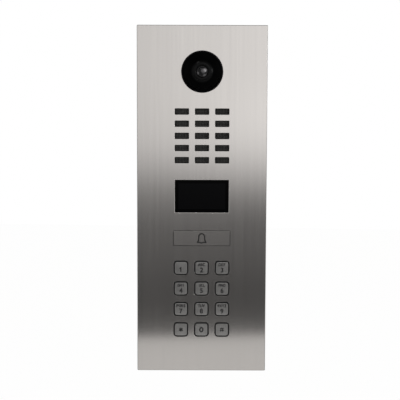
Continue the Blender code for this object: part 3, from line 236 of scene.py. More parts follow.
class SignSizes(bpy.types.PropertyGroup):
    """Sizes of the signs printed on the buttons."""

    digit_height: length("Digit height", "Height of the digits", 4.3 * MM)
    digit_drop: length("Digit drop", "How far a digit lies below its key's middle", 1.8 * MM)
    one_line: length("One line", "Width of the lines of the one", 1.0 * MM)
    letter_height: length("Letter height", "Height of the letters above a digit", 2.6 * MM)
    letter_rise: length("Letter rise", "How far the letters lie above the middle", 3.2 * MM)
    letter_pitch: length("Letter pitch", "From one letter to the next", 2.2 * MM)
    letter_width: length("Letter width", "Width of the widest letters", 1.9 * MM)
    strike: length("Strike", "How far each strike of the bold print is set aside", 0.14 * MM)
    zero_height: length("Zero height", "Height of the zero", 4.9 * MM)
    zero_line: length("Zero line", "Width of the zero's line", 1.15 * MM)
    star_height: length("Star height", "Height of the star", 4.0 * MM)
    star_line: length("Star line", "Width of the star's lines", 1.0 * MM)
    hash_height: length("Hash height", "Height of the hash", 3.9 * MM)
    hash_line: length("Hash line", "Width of the hash's lines", 0.68 * MM)
    bell_size: length("Bell size", "Height of the bell on the call button", 9.3 * MM)
    bell_line: length("Bell line", "Width of the bell's outline", 1.15 * MM)
    ink_thickness: length("Ink thickness", "Thickness of the print, half of it above the steel", 0.04 * MM)


class KeypadSizes(bpy.types.PropertyGroup):
    """Sizes of the rubber mat behind the buttons."""

    mat_thickness: length("Mat thickness", "Thickness of the mat between its domes", 1.2 * MM)
    mat_rim: length("Mat rim", "Width of the rim that rests on the panel", 1.6 * MM)
    mat_corner: length("Mat corner", "Radius of the mat's corners", 0.5 * MM)
    dome_base: length("Dome base", "Diameter of a dome where it meets the mat", 9.0 * MM)
    dome_top: length("Dome top", "Diameter of a dome's flat top", 6.0 * MM)
    dome_wall: length("Dome wall", "Wall round the pocket in a dome", 0.9 * MM)
    dome_thickness: length("Dome thickness", "Thickness of a dome's top", 1.2 * MM)
    press_travel: length("Press travel", "How far a button goes in", 0.8 * MM)


class FixingSizes(bpy.types.PropertyGroup):
    """Sizes of the posts and screws, and of the in-wall box's edges."""

    cover_post: length("Cover post", "Radius of the posts for the main board", 3.5 * MM)
    keypad_post: length("Keypad post", "Radius of the standoffs for the keypad", 3.0 * MM)
    weld_foot: length("Weld foot", "Width of the weld round a post's foot", 0.8 * MM)
    head_height: length("Head height", "Height of a pan head", 1.8 * MM)
    head_edge: length("Head edge", "Radius of a pan head's edge", 0.6 * MM)
    head_bevel: length("Head bevel", "Bevel round a countersunk head", 0.1 * MM)
    socket_depth: length("Socket depth", "Depth of a screw's socket", 1.1 * MM)
    pan_socket: length("Pan socket", "Radius of a pan head's socket", 1.25 * MM)
    security_socket: length("Security socket", "Radius of a security screw's socket", 1.2 * MM)
    pin: length("Pin", "Radius of the pin in a security screw's socket", 0.45 * MM)
    pin_drop: length("Pin drop", "How far the pin stays below the head", 0.2 * MM)
    thread_pitch: length("Thread pitch", "From one turn of a thread to the next", 0.5 * MM)
    thread_depth: length("Thread depth", "Depth of a thread", 0.2 * MM)
    box_edge: length("Box edge", "Bevel of the in-wall box's edges", 0.5 * MM)


class FinishTones(bpy.types.PropertyGroup):
    """Colours of the finishes, and how rough and how brushed the steel is."""

    steel: tone("Steel", "Brushed steel of the panel and the call button", (0.616, 0.588, 0.566))
    key: tone("Key", "Satin steel of the keys", (0.335, 0.328, 0.32))
    zinc: tone("Zinc", "Zinc plating of the sheet-metal parts", (0.55, 0.56, 0.575))
    screw: tone("Screw", "Plain steel of the screws", (0.50, 0.50, 0.50))
    anodised: tone("Anodised", "Black anodised aluminium", (0.06, 0.06, 0.065))
    black: tone("Black", "Polished black plastic", (0.004, 0.004, 0.0045))
    window: tone("Window", "Smoked window over its sensors", (0.0022, 0.0022, 0.0025))
    iris: tone("Iris", "Dark iris behind the front lens", (0.001, 0.001, 0.0015))
    mesh: tone("Mesh", "Dark wire of the speaker mesh", (0.095, 0.093, 0.089))
    cloth: tone("Cloth", "Dark cloth behind the speaker mesh", (0.013, 0.0127, 0.012))
    rubber: tone("Rubber", "Black rubber", (0.018, 0.018, 0.018))
    foam: tone("Foam", "Closed-cell foam", (0.03, 0.03, 0.03))
    paper: tone("Paper", "Coated paper of the loudspeaker's cone", (0.05, 0.05, 0.048))
    board: tone("Board", "Green solder resist", (0.012, 0.105, 0.045))
    ribbon: tone("Ribbon", "Pale jacket of the flat cables", (0.72, 0.72, 0.69))
    yellow: tone("Yellow", "Tape round the transformer", (0.75, 0.53, 0.05))
    green: tone("Green", "Plastic of the terminal block", (0.03, 0.30, 0.10))
    ink: tone("Ink", "Print on the buttons", (0.006, 0.006, 0.006))
    floor: tone("Floor", "Pale floor of the studio", (0.76, 0.757, 0.75))
    steel_roughness: share("Steel roughness", "Roughness of the brushed steel", 0.15)
    steel_brushing: share("Steel brushing", "How strongly the brushing draws out highlights", 1.0)
    key_roughness: share("Key roughness", "Roughness of the keys", 0.24)


class StudioSettings(bpy.types.PropertyGroup):
    """Camera, floor and lamps."""

    distance: length("Camera distance", "From the lens to the middle of the panel", 1.0)
    tilt: degrees("Camera tilt", "How far the camera looks down on the panel", 5.5)
    roll: degrees("Camera roll", "How far the camera is turned about its own axis", 0.2)
    focal: number("Focal length", "Lens of the camera, in millimetres", 97.0, min=1.0, unit="CAMERA")
    film: number("Film", "Width of the camera's film, in millimetres", 36.0, min=1.0, unit="CAMERA")
    shift_x: number("Shift across", "Shift of the picture across, in widths of it", -0.00445, precision=5)
    shift_y: number("Shift upwards", "Shift of the picture upwards, in widths of it", 0.0008, precision=5)
    floor_drop: length("Floor drop", "From the panel's lower edge down to the floor", 0.175)
    floor_reach: length("Floor reach", "How far the floor comes forward of the wall", 0.98)
    floor_width: length("Floor width", "Width of the floor", 4.0)
    floor_depth: length("Floor depth", "How far the floor goes back behind the wall", 2.5)
    floor_turn: degrees("Floor turn", "How far the floor is turned from square to the panel", 5.5)
    key_light: number("Key light", "Power of the soft box at the right", 2.6, unit="POWER")
    fill_light: number("Fill light", "Power of the soft box at the left", 1.0, unit="POWER")
    ambient: number("Ambient", "Level of the light from all round", 0.85, min=0.0)


# Nodes


def arithmetic(operation, turned=False):
    """A method that adds a Math node, with its two values the other way round if turned."""

    def method(self, other=0.0):
        first, second = (other, self) if turned else (self, other)
        return self.nodes.node("ShaderNodeMath", {0: first, 1: second}, operation=operation)

    return method


class Socket:
    """An outlet of a node in an expression: arithmetic on it adds Math nodes."""

    __add__ = arithmetic("ADD")
    __radd__ = arithmetic("ADD", turned=True)
    __sub__ = arithmetic("SUBTRACT")
    __rsub__ = arithmetic("SUBTRACT", turned=True)
    __mul__ = arithmetic("MULTIPLY")
    __rmul__ = arithmetic("MULTIPLY", turned=True)
    __truediv__ = arithmetic("DIVIDE")
    __rtruediv__ = arithmetic("DIVIDE", turned=True)
    __mod__ = arithmetic("MODULO")
    __lt__ = arithmetic("LESS_THAN")
    __gt__ = arithmetic("GREATER_THAN")
    __abs__ = arithmetic("ABSOLUTE")

    def __init__(self, nodes, outlet):
        self.nodes = nodes
        self.outlet = outlet

    def maths(self, operation, other=0.0):
        """Add a Math node that has no operator of its own."""
        return arithmetic(operation)(self, other)


class Nodes:
    """A node tree, with one way to add a node to it."""

    def __init__(self, tree):
        self.tree = tree

    def node(self, kind, sockets=None, output=0, **settings):
        """Add a node, its settings first and then its sockets, and give back one of its outlets."""
        made = self.tree.nodes.new(kind)
        for name, value in settings.items():
            setattr(made, name, value)
        for name, value in (sockets or {}).items():
            self.feed(made.inputs[name], value)
        return Socket(self, made.outputs[output]) if made.outputs else made

    def feed(self, inlet, value):
        """Link an outlet to an inlet, or set the inlet's own value."""
        if isinstance(value, Socket):
            self.tree.links.new(value.outlet, inlet)
        else:
            inlet.default_value = value

    def vector(self, **parts):
        """A vector from its parts."""
        return self.node("ShaderNodeCombineXYZ", parts)

    def ramp(self, value, stops):
        """Grey level of a value, between (place, level) stops."""
        level = self.node("ShaderNodeValToRGB", {"Fac": value})
        elements = level.outlet.node.color_ramp.elements
        while len(elements) < len(stops):
            elements.new(1.0)
        for element, (place, grey) in zip(elements, stops):
            element.position = place
            element.color = (grey, grey, grey, 1.0)
        return level

    def spread(self, value, low, high, to_low=0.0, to_high=1.0, kind="SMOOTHSTEP"):
        """Carry a value from one range to another and stop at its ends."""
        sockets = {
            "Value": value,
            "From Min": low,
            "From Max": high,
            "To Min": to_low,
            "To Max": to_high,
        }
        return self.node("ShaderNodeMapRange", sockets, interpolation_type=kind)

    def level_mix(self, amount, first, second):
        """Go from one number to another."""
        return first * (1 - amount) + second * amount

    def mix(self, amount, first, second):
        """Colour between two colours."""
        sockets = {0: amount, 6: opaque(first), 7: opaque(second)}
        return self.node("ShaderNodeMix", sockets, 2, data_type="RGBA")

    def axes(self, vector):
        """The three parts of a vector."""
        parts = self.node("ShaderNodeSeparateXYZ", {0: vector})
        return [Socket(self, outlet) for outlet in parts.outlet.node.outputs]


class Finish(Nodes):
    """A material's nodes, begun with its Principled shader."""

    def __init__(self, name):
        self.material = bpy.data.materials.new(name)
        self.material.use_nodes = True
        super().__init__(self.material.node_tree)
        self.shader = self.tree.nodes["Principled BSDF"]

    def point(self, scale=(1.0, 1.0, 1.0), location=(0.0, 0.0, 0.0)):
        """Place on the object, from Object coordinates."""
        place = self.node("ShaderNodeTexCoord", output="Object")
        sockets = {"Vector": place, "Location": location, "Scale": scale}
        return self.node("ShaderNodeMapping", sockets)

    def noise(self, scale, detail=2.0, roughness=0.5):
        """Soft noise between 0 and 1, with one scale for all axes or one for each."""
        uneven = isinstance(scale, tuple)
        sockets = {
            "Vector": self.point(scale) if uneven else self.point(),
            "Scale": 1.0 if uneven else scale,
            "Detail": detail,
            "Roughness": roughness,
        }
        return self.node("ShaderNodeTexNoise", sockets)

    def cells(self, scale, stretch=(1.0, 1.0, 1.0), output="Distance"):
        """Cells about scattered points."""
        sockets = {"Vector": self.point(stretch), "Scale": scale}
        return self.node("ShaderNodeTexVoronoi", sockets, output)

    def bump(self, height, strength, distance):
        """Normal that a height gives the surface."""
        sockets = {"Height": height, "Strength": strength, "Distance": distance}
        return self.node("ShaderNodeBump", sockets)

    def shades(self, amount, colour, first, second):
        """Colour between two shades of one colour."""
        return self.mix(amount, shade(colour, first), shade(colour, second))

    def surface(self, sockets):
        """Set the Principled shader's sockets and give the material back."""
        for name, value in sockets.items():
            self.feed(self.shader.inputs[name], value)
        return self.material

    def grained(self, grain, colour, shades, roughness, others):
        """Material whose (first, second) shades and (least, added) roughness follow one grain."""
        sockets = {
            "Base Color": self.shades(grain, colour, *shades),
            "Roughness": roughness[0] + roughness[1] * grain,
        }
        return self.surface({**sockets, **others})


def opaque(colour):
    """A colour with its alpha, or a socket as it is."""
    return colour if isinstance(colour, Socket) else (*colour[:3], 1.0)


def shade(colour, factor):
    """A colour made lighter or darker."""
    return tuple(part * factor for part in colour)


# Places on the solids


def middle_of(node):
    """Middle of a CAD node's box."""
    low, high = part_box(node)
    return (low + high) / 2


def front_middle(node):
    """(x, z) middle of a CAD node's box, as seen from the front."""
    middle = middle_of(node)
    return middle.x, middle.z


def front_of(node):
    """Depth of the front of a CAD node's box."""
    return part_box(node)[0].y


def back_of(node):
    """Depth of the back of a CAD node's box."""
    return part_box(node)[1].y


def front_size(node):
    """Width and height of a CAD node's box, as seen from the front."""
    low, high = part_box(node)
    return high.x - low.x, high.z - low.z


def radius_of(node):
    """Radius of a round CAD node, as seen from the front."""
    return front_size(node)[0] / 2


def within(x, z, node, size, margin=0.0):
    """Mask of a rectangle about a node's middle, with a margin round it."""
    middle_x, middle_z = front_middle(node)
    across = abs(x - middle_x) < size[0] / 2 + margin
    return across * (abs(z - middle_z) < size[1] / 2 + margin)


def from_axis(finish, node, aside=(0.0, 0.0)):
    """Distance of a place on the object from the axis of a turned node, or from a line beside it."""
    middle_x, middle_z = front_middle(node)
    offset = (-middle_x - aside[0], 0.0, -middle_z - aside[1])
    x, _, z = finish.axes(finish.point(location=offset))
    return (x * x + z * z).maths("SQRT")


# Finishes


def steel_masks(finish, sizes):
    """Masks of the call bar, of painted shade inside the pan, in its openings and in the groove round the
    bar, of painted shade on the rounded rim, and of a painted highlight on the window's lower lip.
    """
    face = front_of("front_panel")
    x, y, z = finish.axes(finish.point())
    depth = y - face
    bar = cap_size("call_button", sizes, sizes.button_gap)
    on_bar = within(x, z, "call_button", bar, SKIN)
    by_bar = within(x, z, "call_button", bar, sizes.button_gap + 2 * sizes.opening_edge)
    by_pane = within(x, z, "sensor_window", front_size("sensor_window"))
    on_face = within(x, z, "front_panel", front_size("front_panel"), -0.9 * SHEET)

    proud = face - front_of("call_button")
    # Painted shade: behind the front face, in the walls of the openings, inside the pan and, sharply, in
    # the groove round the call bar, the steel turns dark.
    behind = depth - sizes.window_bevel * by_pane + proud * on_bar
    sharper_groove = 20
    dark = finish.spread(behind * (1 + sharper_groove * by_bar), 0.02 * MM, 0.1 * MM)
    # Painted shade: the panel's rounded outer edge is made darker, which tones down its highlight.
    rounded = finish.spread(depth, 1.2 * sizes.panel_edge, 0.9 * sizes.panel_edge)
    rim = (1 - on_face) * rounded * finish.spread(depth, 0.002 * MM, 0.02 * MM)
    # Painted highlight: the lower lip of the window's opening is made lighter, as if it caught the light
    # from above.
    lip_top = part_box("sensor_window")[0].z + sizes.window_lap + 0.9 * sizes.window_bevel
    painted_lip_highlight = by_pane * (z < lip_top) * (depth > 0.1 * sizes.window_bevel)
    return on_bar, dark * on_face, rim, painted_lip_highlight


def brushed_steel(finish, tones):
    """Steel brushed up and down, painted dark as painted shade inside the pan and in its openings, and
    rough there.
    """
    on_bar, inside, rim, painted_lip_highlight = steel_masks(finish, bpy.context.scene.intercom_front)
    fine = finish.noise((2600, 2600, 16), detail=3.0)
    broad = finish.noise((420, 420, 5))
    handled = finish.noise((22, 22, 22), detail=3.0)
    streaks = 0.5 * fine + 0.5 * broad
    sheet = finish.shades(streaks, tones.steel, 0.91, 1.09)
    bar = finish.shades(streaks, tones.steel, 1.0, 1.18)
    shown = finish.mix(on_bar, sheet, bar)
    # Painted shade darkens the rounded rim and everything behind the face; a painted highlight lightens
    # the lower lip of the window's opening.
    for mask, factor in ((rim, 0.55), (painted_lip_highlight, 1.6), (inside, 0.05)):
        shown = finish.mix(mask, shown, shade(tones.steel, factor))
    smooth = tones.steel_roughness - 0.03 + 0.045 * streaks + 0.015 * handled
    return finish.surface(
        {
            "Base Color": shown,
            "Metallic": 1.0,
            "Roughness": smooth + 0.8 * inside + 0.25 * rim,
            "Anisotropic": tones.steel_brushing,
            "Normal": finish.bump(fine, 0.04, 0.02 * MM),
        }
    )


def satin_steel(finish, tones):
    """Steel caps with a satin face; their sides, from just before the panel's face back, are painted dark
    and dull as painted shade in the gap round each key.
    """
    panel_front = front_of("front_panel")
    _, y, _ = finish.axes(finish.point())
    # Painted shade: the cap's sides behind this depth take a dark rubber colour and no metal, so that the
    # gap round the key reads dark.
    shade_begins, shade_full = 0.5 * MM, 0.35 * MM
    stem = finish.spread(y, panel_front - shade_begins, panel_front - shade_full)
    grain = finish.noise(3200.0)
    worn = finish.noise(160.0, detail=3.0)
    satin = finish.shades(worn, tones.key, 0.96, 1.03)
    return finish.surface(
        {
            "Base Color": finish.mix(stem, satin, shade(tones.rubber, 0.5)),
            "Metallic": 1 - stem,
            "Roughness": tones.key_roughness - 0.03 + 0.06 * worn + 0.3 * stem,
            "Normal": finish.bump(grain, 0.06, 0.03 * MM),
        }
    )


def zinc_plate(finish, tones):
    """Galvanised sheet: dull crystals a few millimetres across, and faint rolling marks."""
    warp = finish.noise(90.0)
    crystal = finish.axes(finish.cells(170.0, output="Color"))[0]
    rolled = finish.noise((40, 40, 900))
    return finish.surface(
        {
            "Base Color": finish.shades(0.65 * crystal + 0.35 * warp, tones.zinc, 0.88, 1.08),
            "Metallic": 1.0,
            "Roughness": 0.36 + 0.1 * crystal + 0.06 * warp,
            "Normal": finish.bump(rolled, 0.08, 0.05 * MM),
        }
    )


def turned_steel(finish, tones):
    """Bright screws with fine tool marks."""
    marks = finish.noise(2400.0, detail=3.0)
    others = {"Metallic": 1.0, "Normal": finish.bump(marks, 0.05, 0.03 * MM)}
    return finish.grained(marks, tones.screw, (0.85, 1.1), (0.24, 0.14), others)


def black_anodised(finish, tones):
    """Aluminium with a black anodised skin."""
    grain = finish.noise((900, 900, 60), detail=3.0)
    others = {"Metallic": 0.7, "Normal": finish.bump(grain, 0.06, 0.04 * MM)}
    return finish.grained(grain, tones.anodised, (0.7, 1.4), (0.36, 0.14), others)


def polished_black(finish, tones):
    """Polished black plastic with the faint ripple of a moulding."""
    ripple = finish.noise(140.0)
    dust = finish.noise(900.0, detail=4.0, roughness=0.7)
    others = {"Specular IOR Level": 0.08, "Normal": finish.bump(ripple, 0.03, 0.2 * MM)}
    return finish.grained(dust, tones.black, (0.6, 1.6), (0.18, 0.08), others)


def smoked_window(finish, tones):
    """Smoked pane: black print round its edge, and a trace of the sensors behind its middle."""
    sizes = bpy.context.scene.intercom_front
    middle_x, middle_z = front_middle("sensor_window")
    print_width = sizes.window_lap + sizes.window_border
    half_x, half_z = [side / 2 - print_width for side in front_size("sensor_window")]
    x, _, z = finish.axes(finish.point(location=(-middle_x, 0.0, -middle_z)))
    soft = 0.6 * MM
    across = finish.spread(abs(x), half_x + soft, half_x - soft)
    upright = finish.spread(abs(z), half_z + soft, half_z - soft)
    clear = across * upright
    dust = finish.noise(700.0, detail=4.0, roughness=0.7)
    return finish.surface(
        {
            "Base Color": finish.shades(clear, tones.window, 0.12, 1.0),
            "Roughness": 0.10 + 0.06 * dust - 0.02 * clear,
            "Specular IOR Level": 0.05,
        }
    )


def eye_black(finish, tones):
    """Fine-grained black of the camera eye, polished round the mouth of the lens and at its rim."""
    mouth = radius_of("lens_glass")
    rim = radius_of("camera_dome")
    reach = from_axis(finish, "lens_glass")
    by_mouth = finish.spread(reach, mouth + 6.0 * MM, mouth + 3.0 * MM)
    by_rim = finish.spread(reach, rim - 2.2 * MM, rim - 1.5 * MM)
    grain = finish.noise(1500.0, detail=3.0, roughness=0.6)
    others = {
        "Specular IOR Level": 0.012,
        "Coat Weight": 0.2 * by_mouth + 0.1 * by_rim,
        "Coat Roughness": 0.25,
    }
    return finish.grained(grain, tones.black, (0.1, 0.25), (0.11, 0.05), others)


def coated_glass(finish, tones):
    """Front lens: coated glass that shows its dark iris, with a painted reflection ring near its edge and
    painted highlights spread over it.
    """
    radius = radius_of("lens_glass")
    out = from_axis(finish, "lens_glass") / radius
    # Painted reflection: a light ring just inside the lens's edge.
    light = finish.ramp(out, [(0.84, 0.0), (0.89, 0.12), (0.97, 0.1)])
    # Painted highlights: a bright spot and crescents, from the table of glints.
    for aside, size, level in LENS_GLINTS:
        reach = from_axis(finish, "lens_glass", aside)
        light = light + level * finish.spread(reach, size, 0.45 * size)
    swirl = finish.noise(260.0)
    # Colour of the painted reflection and highlights.
    element = finish.mix(swirl, (0.19, 0.185, 0.195), (0.23, 0.22, 0.225))
    return finish.surface(
        {
            "Base Color": finish.mix(light, tones.iris, element),
            "Roughness": 0.05 + 0.03 * swirl,
            "Specular IOR Level": 0.2,
        }
    )


def dark_wire(finish, tones):
    """Blackened stainless wire."""
    patch = finish.noise(600.0, detail=3.0)
    return finish.grained(patch, tones.mesh, (0.7, 1.4), (0.36, 0.2), {"Metallic": 0.5})


def woven_cloth(finish, tones):
    """Dark cloth that lets sound through."""
    x, _, z = finish.axes(finish.point())
    thread = 0.35 * MM
    weave = abs(x % thread / thread - 0.5) + abs(z % thread / thread - 0.5)
    patch = finish.noise(120.0, detail=3.0)
    return finish.surface(
        {
            "Base Color": finish.shades(0.6 * weave + 0.4 * patch, tones.cloth, 0.4, 1.6),
            "Roughness": 0.85 + 0.1 * weave,
            "Specular IOR Level": 0.2,
        }
    )


def matt_rubber(finish, tones):
    """Moulded rubber with a fine eggshell skin and a little bloom."""
    skin = finish.noise(2200.0, detail=3.0)
    bloom = finish.noise(60.0, detail=4.0)
    return finish.surface(
        {
            "Base Color": finish.shades(bloom, tones.rubber, 0.7, 1.7),
            "Roughness": 0.62 + 0.18 * skin,
            "Specular IOR Level": 0.35,
            "Normal": finish.bump(skin, 0.12, 0.05 * MM),
        }
    )


def cell_foam(finish, tones):
    """Closed-cell foam."""
    cell = finish.cells(1500.0)
    others = {"Normal": finish.bump(cell, 0.4, 0.15 * MM)}
    return finish.grained(cell, tones.foam, (1.7, 0.5), (0.82, 0.15), others)


def coated_paper(finish, tones):
    """Pressed paper pulp under a thin coat."""
    pulp = finish.noise(1100.0, detail=5.0, roughness=0.65)
    others = {"Normal": finish.bump(pulp, 0.3, 0.1 * MM)}
    return finish.grained(pulp, tones.paper, (0.6, 1.6), (0.55, 0.3), others)


def circuit_board(finish, tones):
    """Green circuit board: upright and level tracks under the resist, and tinned pads."""
    x, _, z = finish.axes(finish.point())
    region = finish.noise((55, 55, 55), detail=1.0) > 0.5
    pitch = 1.27 * MM
    along_x = abs(z % pitch) < 0.4 * pitch
    along_z = abs(x % pitch) < 0.4 * pitch
    track = region * along_x + (1 - region) * along_z
    pad = finish.cells(260.0, stretch=(1.0, 0.0, 1.0)) < 0.16
    green = finish.shades(track, tones.board, 1.0, 1.7)
    tin = (0.62, 0.61, 0.58)
    return finish.surface(
        {
            "Base Color": finish.mix(pad, green, tin),
            "Metallic": 0.9 * pad,
            "Roughness": 0.34 + 0.05 * track - 0.04 * pad,
            "Normal": finish.bump(track + pad, 0.25, 0.05 * MM),
        }
    )


def flat_cable(finish, tones):
    """Flat cable: wires side by side under a pale jacket, the first one marked red."""
    x, _, _ = finish.axes(finish.point())
    low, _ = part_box("camera_cable")
    pitch = 1.0 * MM
    wire = abs((x - low.x) % pitch / pitch - 0.5)
    first = x < low.x + pitch
    jacket = finish.shades(2 * wire, tones.ribbon, 1.0, 0.72)
    red = (0.45, 0.03, 0.03)
    return finish.surface(
        {
            "Base Color": finish.mix(first, jacket, red),
            "Roughness": 0.42 + 0.2 * wire,
            "Normal": finish.bump(0.5 - wire, 0.5, 0.2 * MM),
        }
    )


def wound_tape(finish, tones):
    """Yellow film tape in overlapping turns."""
    _, y, _ = finish.axes(finish.point())
    turn = 2.2 * MM
    lap = abs(y % turn) / turn
    film = finish.noise(300.0, detail=3.0)
    return finish.surface(
        {
            "Base Color": finish.shades(lap, tones.yellow, 0.78, 1.1),
            "Roughness": 0.22 + 0.16 * film,
            "Normal": finish.bump(lap, 0.2, 0.1 * MM),
        }
    )


def moulded_green(finish, tones):
    """Green moulded plastic with a spark-eroded skin."""
    skin = finish.noise(1600.0, detail=3.0)
    flow = finish.noise(70.0, detail=3.0)
    return finish.surface(
        {
            "Base Color": finish.shades(flow, tones.green, 0.85, 1.12),
            "Roughness": 0.42 + 0.12 * skin,
            "Normal": finish.bump(skin, 0.15, 0.04 * MM),
        }
    )


def printed_ink(finish, tones):
    """Dark print, a little uneven where it meets the grain of the steel."""
    wear = finish.noise(1800.0, detail=4.0, roughness=0.7)
    others = {"Specular IOR Level": 0.25}
    return finish.grained(wear, tones.ink, (0.6, 2.0), (0.45, 0.2), others)


FINISHES = {
    "steel": brushed_steel,
    "key": satin_steel,
    "zinc": zinc_plate,
    "screw": turned_steel,
    "anodised": black_anodised,
    "black": polished_black,
    "window": smoked_window,
    "eye": eye_black,
    "glass": coated_glass,
    "mesh": dark_wire,
    "cloth": woven_cloth,
    "rubber": matt_rubber,
    "foam": cell_foam,
    "paper": coated_paper,
    "board": circuit_board,
    "ribbon": flat_cable,
    "yellow": wound_tape,
    "green": moulded_green,
    "ink": printed_ink,
}


def finish_named(slot):
    """The material of a finish, made when it is first asked for."""
    name = f"intercom_{slot}"
    made = bpy.data.materials.get(name)
    return made or FINISHES[slot](Finish(name), bpy.context.scene.intercom_tones)


# Mesh tools


def round_outline(width, height, radius, middle=(0.0, 0.0), steps=CORNER_STEPS):
    """Points of a rectangle with round corners, anticlockwise."""
    points = []
    for quarter, (side_x, side_z) in enumerate(((1, 1), (-1, 1), (-1, -1), (1, -1))):
        corner_x = middle[0] + side_x * (width / 2 - radius)
        corner_z = middle[1] + side_z * (height / 2 - radius)
        for step in range(steps + 1):
            angle = math.pi / 2 * (quarter + step / steps)
            points.append((corner_x + radius * math.cos(angle), corner_z + radius * math.sin(angle)))
    return points


def circle_outline(radius, middle, steps=ROUND_STEPS):
    """Points of a circle, anticlockwise."""
    turns = [2 * math.pi * step / steps for step in range(steps)]
    return [(middle[0] + radius * math.cos(a), middle[1] + radius * math.sin(a)) for a in turns]


def quarter_round(radius, steps=EDGE_STEPS):
    """(inset, depth) steps over a rounded edge, from the face to the side."""
    for step in range(steps + 1):
        angle = math.pi / 2 * step / steps
        yield radius * (1 - math.sin(angle)), radius * (1 - math.cos(angle))


def add_ring(bm, outline, depth):
    """Add the points of an outline at a depth."""
    return [bm.verts.new((x, depth, z)) for x, z in outline]


def join_rings(bm, rings):
    """Add a smooth skin over rings of as many points each."""
    for ring, following in zip(rings, rings[1:]):
        for index in range(len(ring)):
            after = (index + 1) % len(ring)
            quad = (ring[index], following[index], following[after], ring[after])
            bm.faces.new(quad).smooth = True


def rounded_edge(width, height, corner, depth, radius, grow=-1, ease=-0.5):
    """Sections over a rounded edge, from the face back to the sides.

    A section is the width, height, corner and depth of a rectangle. Its sides grow or shrink with
    the edge's inset, and its corner is eased by a part of that.
    """
    for inset, back in quarter_round(radius):
        change = 2 * grow * inset
        yield width + change, height + change, corner + ease * inset, depth + back


def add_sections(bm, sections, middle=(0.0, 0.0)):
    """Add a smooth skin over sections, and give back its first ring and its last."""
    rings = []
    for width, height, corner, depth in sections:
        rings.append(add_ring(bm, round_outline(width, height, corner, middle), depth))
    join_rings(bm, rings)
    return rings[0], rings[-1]


def add_hole(bm, radius, middle, depths, steps=ROUND_STEPS):
    """Add the wall of a round hole, and give back its two rings."""
    rings = [add_ring(bm, circle_outline(radius, middle, steps), depth) for depth in depths]
    join_rings(bm, rings)
    return rings


def fill_loops(points, loops):
    """Flat fill of closed loops of points: its places, its triangles, and the loops about each one."""
    scaled = [Vector(point) / MM for point in points]
    turned = []
    for loop in loops:
        around = sum(scaled[loop[index - 1]].cross(scaled[loop[index]]) for index in range(len(loop)))
        turned.append(loop if around > 0 else loop[::-1])
    fill = delaunay_2d_cdt(scaled, [], turned, INSIDE_LOOPS, WELD / MM)
    places, _, triangles, sources, _, about = fill
    return [place * MM for place in places], triangles, sources, about


def fill_between(points, loops):
    """Triangles of points that fill outer loops, with the loops inside them left open."""
    _, triangles, sources, about = fill_loops(points, loops)
    for triangle, around in zip(triangles, about):
        if len(around) % 2:
            yield [sources[index][0] for index in triangle]


def fill_rings(bm, rings):
    """Fill the flat between an outer ring and the rings inside it."""
    corners, loops = [], []
    for ring in rings:
        loops.append(list(range(len(corners), len(corners) + len(ring))))
        corners += ring
    for triangle in fill_between([(corner.co.x, corner.co.z) for corner in corners], loops):
        bm.faces.new([corners[index] for index in triangle])


def add_turned(bm, profile, middle=(0.0, 0.0, 0.0), steps=ROUND_STEPS, upright=False):
    """Add a turned solid: (radius, distance) points spun about Y, or about Z if upright.

    A profile that starts and ends on the axis is closed there, and any other is a closed ring.
    """
    turns = [2 * math.pi * step / steps for step in range(steps)]
    rings = []
    for radius, distance in profile:
        flat = [(radius * math.cos(a), radius * math.sin(a)) for a in turns]
        if upright:
            places = [(x, y, distance) for x, y in flat]
        else:
            places = [(x, distance, z) for x, z in flat]
        rings.append([bm.verts.new(Vector(place) + Vector(middle)) for place in places])
    if profile[0][0] > 0:
        rings.append(rings[0])
    join_rings(bm, rings)
    return bm


def mark_sharp(bm):
    """Keep the edges sharp where faces meet at more than the smooth angle."""
    for edge in bm.edges:
        edge.smooth = edge.calc_face_angle(0.0) < SMOOTH_ANGLE


def plain_mesh(name, holder):
    """Mesh that an object's modifiers leave, with the object removed."""
    graph = bpy.context.evaluated_depsgraph_get()
    mesh = bpy.data.meshes.new_from_object(holder.evaluated_get(graph))
    mesh.name = name
    bpy.data.objects.remove(holder)
    return mesh


def add_object(name, data):
    """Put data into the scene as an object at the origin."""
    made = bpy.data.objects.new(name, data)
    bpy.context.scene.collection.objects.link(made)
    return made


def finish_piece(name, mesh, slot, body=HOUSING, stands_for=()):
    """Turn a mesh into a piece with a finish, which rides on a body and stands for CAD nodes."""
    piece = add_object(name, mesh)
    mesh.materials.clear()
    mesh.materials.append(finish_named(slot))
    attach(piece, body)
    if stands_for:
        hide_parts(*stands_for)
    return piece


def close_mesh(name, bm):
    """Weld a bmesh, turn its faces outwards and make it a mesh."""
    bmesh.ops.remove_doubles(bm, verts=bm.verts, dist=WELD)
    bmesh.ops.dissolve_degenerate(bm, dist=WELD, edges=bm.edges)
    bmesh.ops.recalc_face_normals(bm, faces=bm.faces)
    mark_sharp(bm)
    mesh = bpy.data.meshes.new(name)
    bm.to_mesh(mesh)
    bm.free()
    return mesh


def make_piece(name, bm, slot, body=HOUSING, stands_for=()):
    """Turn a bmesh into a finished piece."""
    return finish_piece(name, close_mesh(name, bm), slot, body, stands_for)


def softened_copy(node, width):
    """Mesh of a CAD node with its corners broken, so that they catch the light."""
    bm = bmesh.new()
    bm.from_mesh(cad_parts[node].data)
    bmesh.ops.remove_doubles(bm, verts=bm.verts, dist=WELD)
    bmesh.ops.dissolve_limit(bm, angle_limit=FLAT_ANGLE, verts=bm.verts, edges=bm.edges)
    for face in bm.faces:
        face.smooth = True
    name = f"{node}_softened"
    holder = add_object(name, close_mesh(name, bm))
    bevel = holder.modifiers.new("broken_corners", "BEVEL")
    bevel.width = width
    bevel.segments = 2
    bevel.limit_method = "ANGLE"
    bevel.angle_limit = BEVEL_ANGLE
    bevel.harden_normals = True
    return plain_mesh(name, holder)


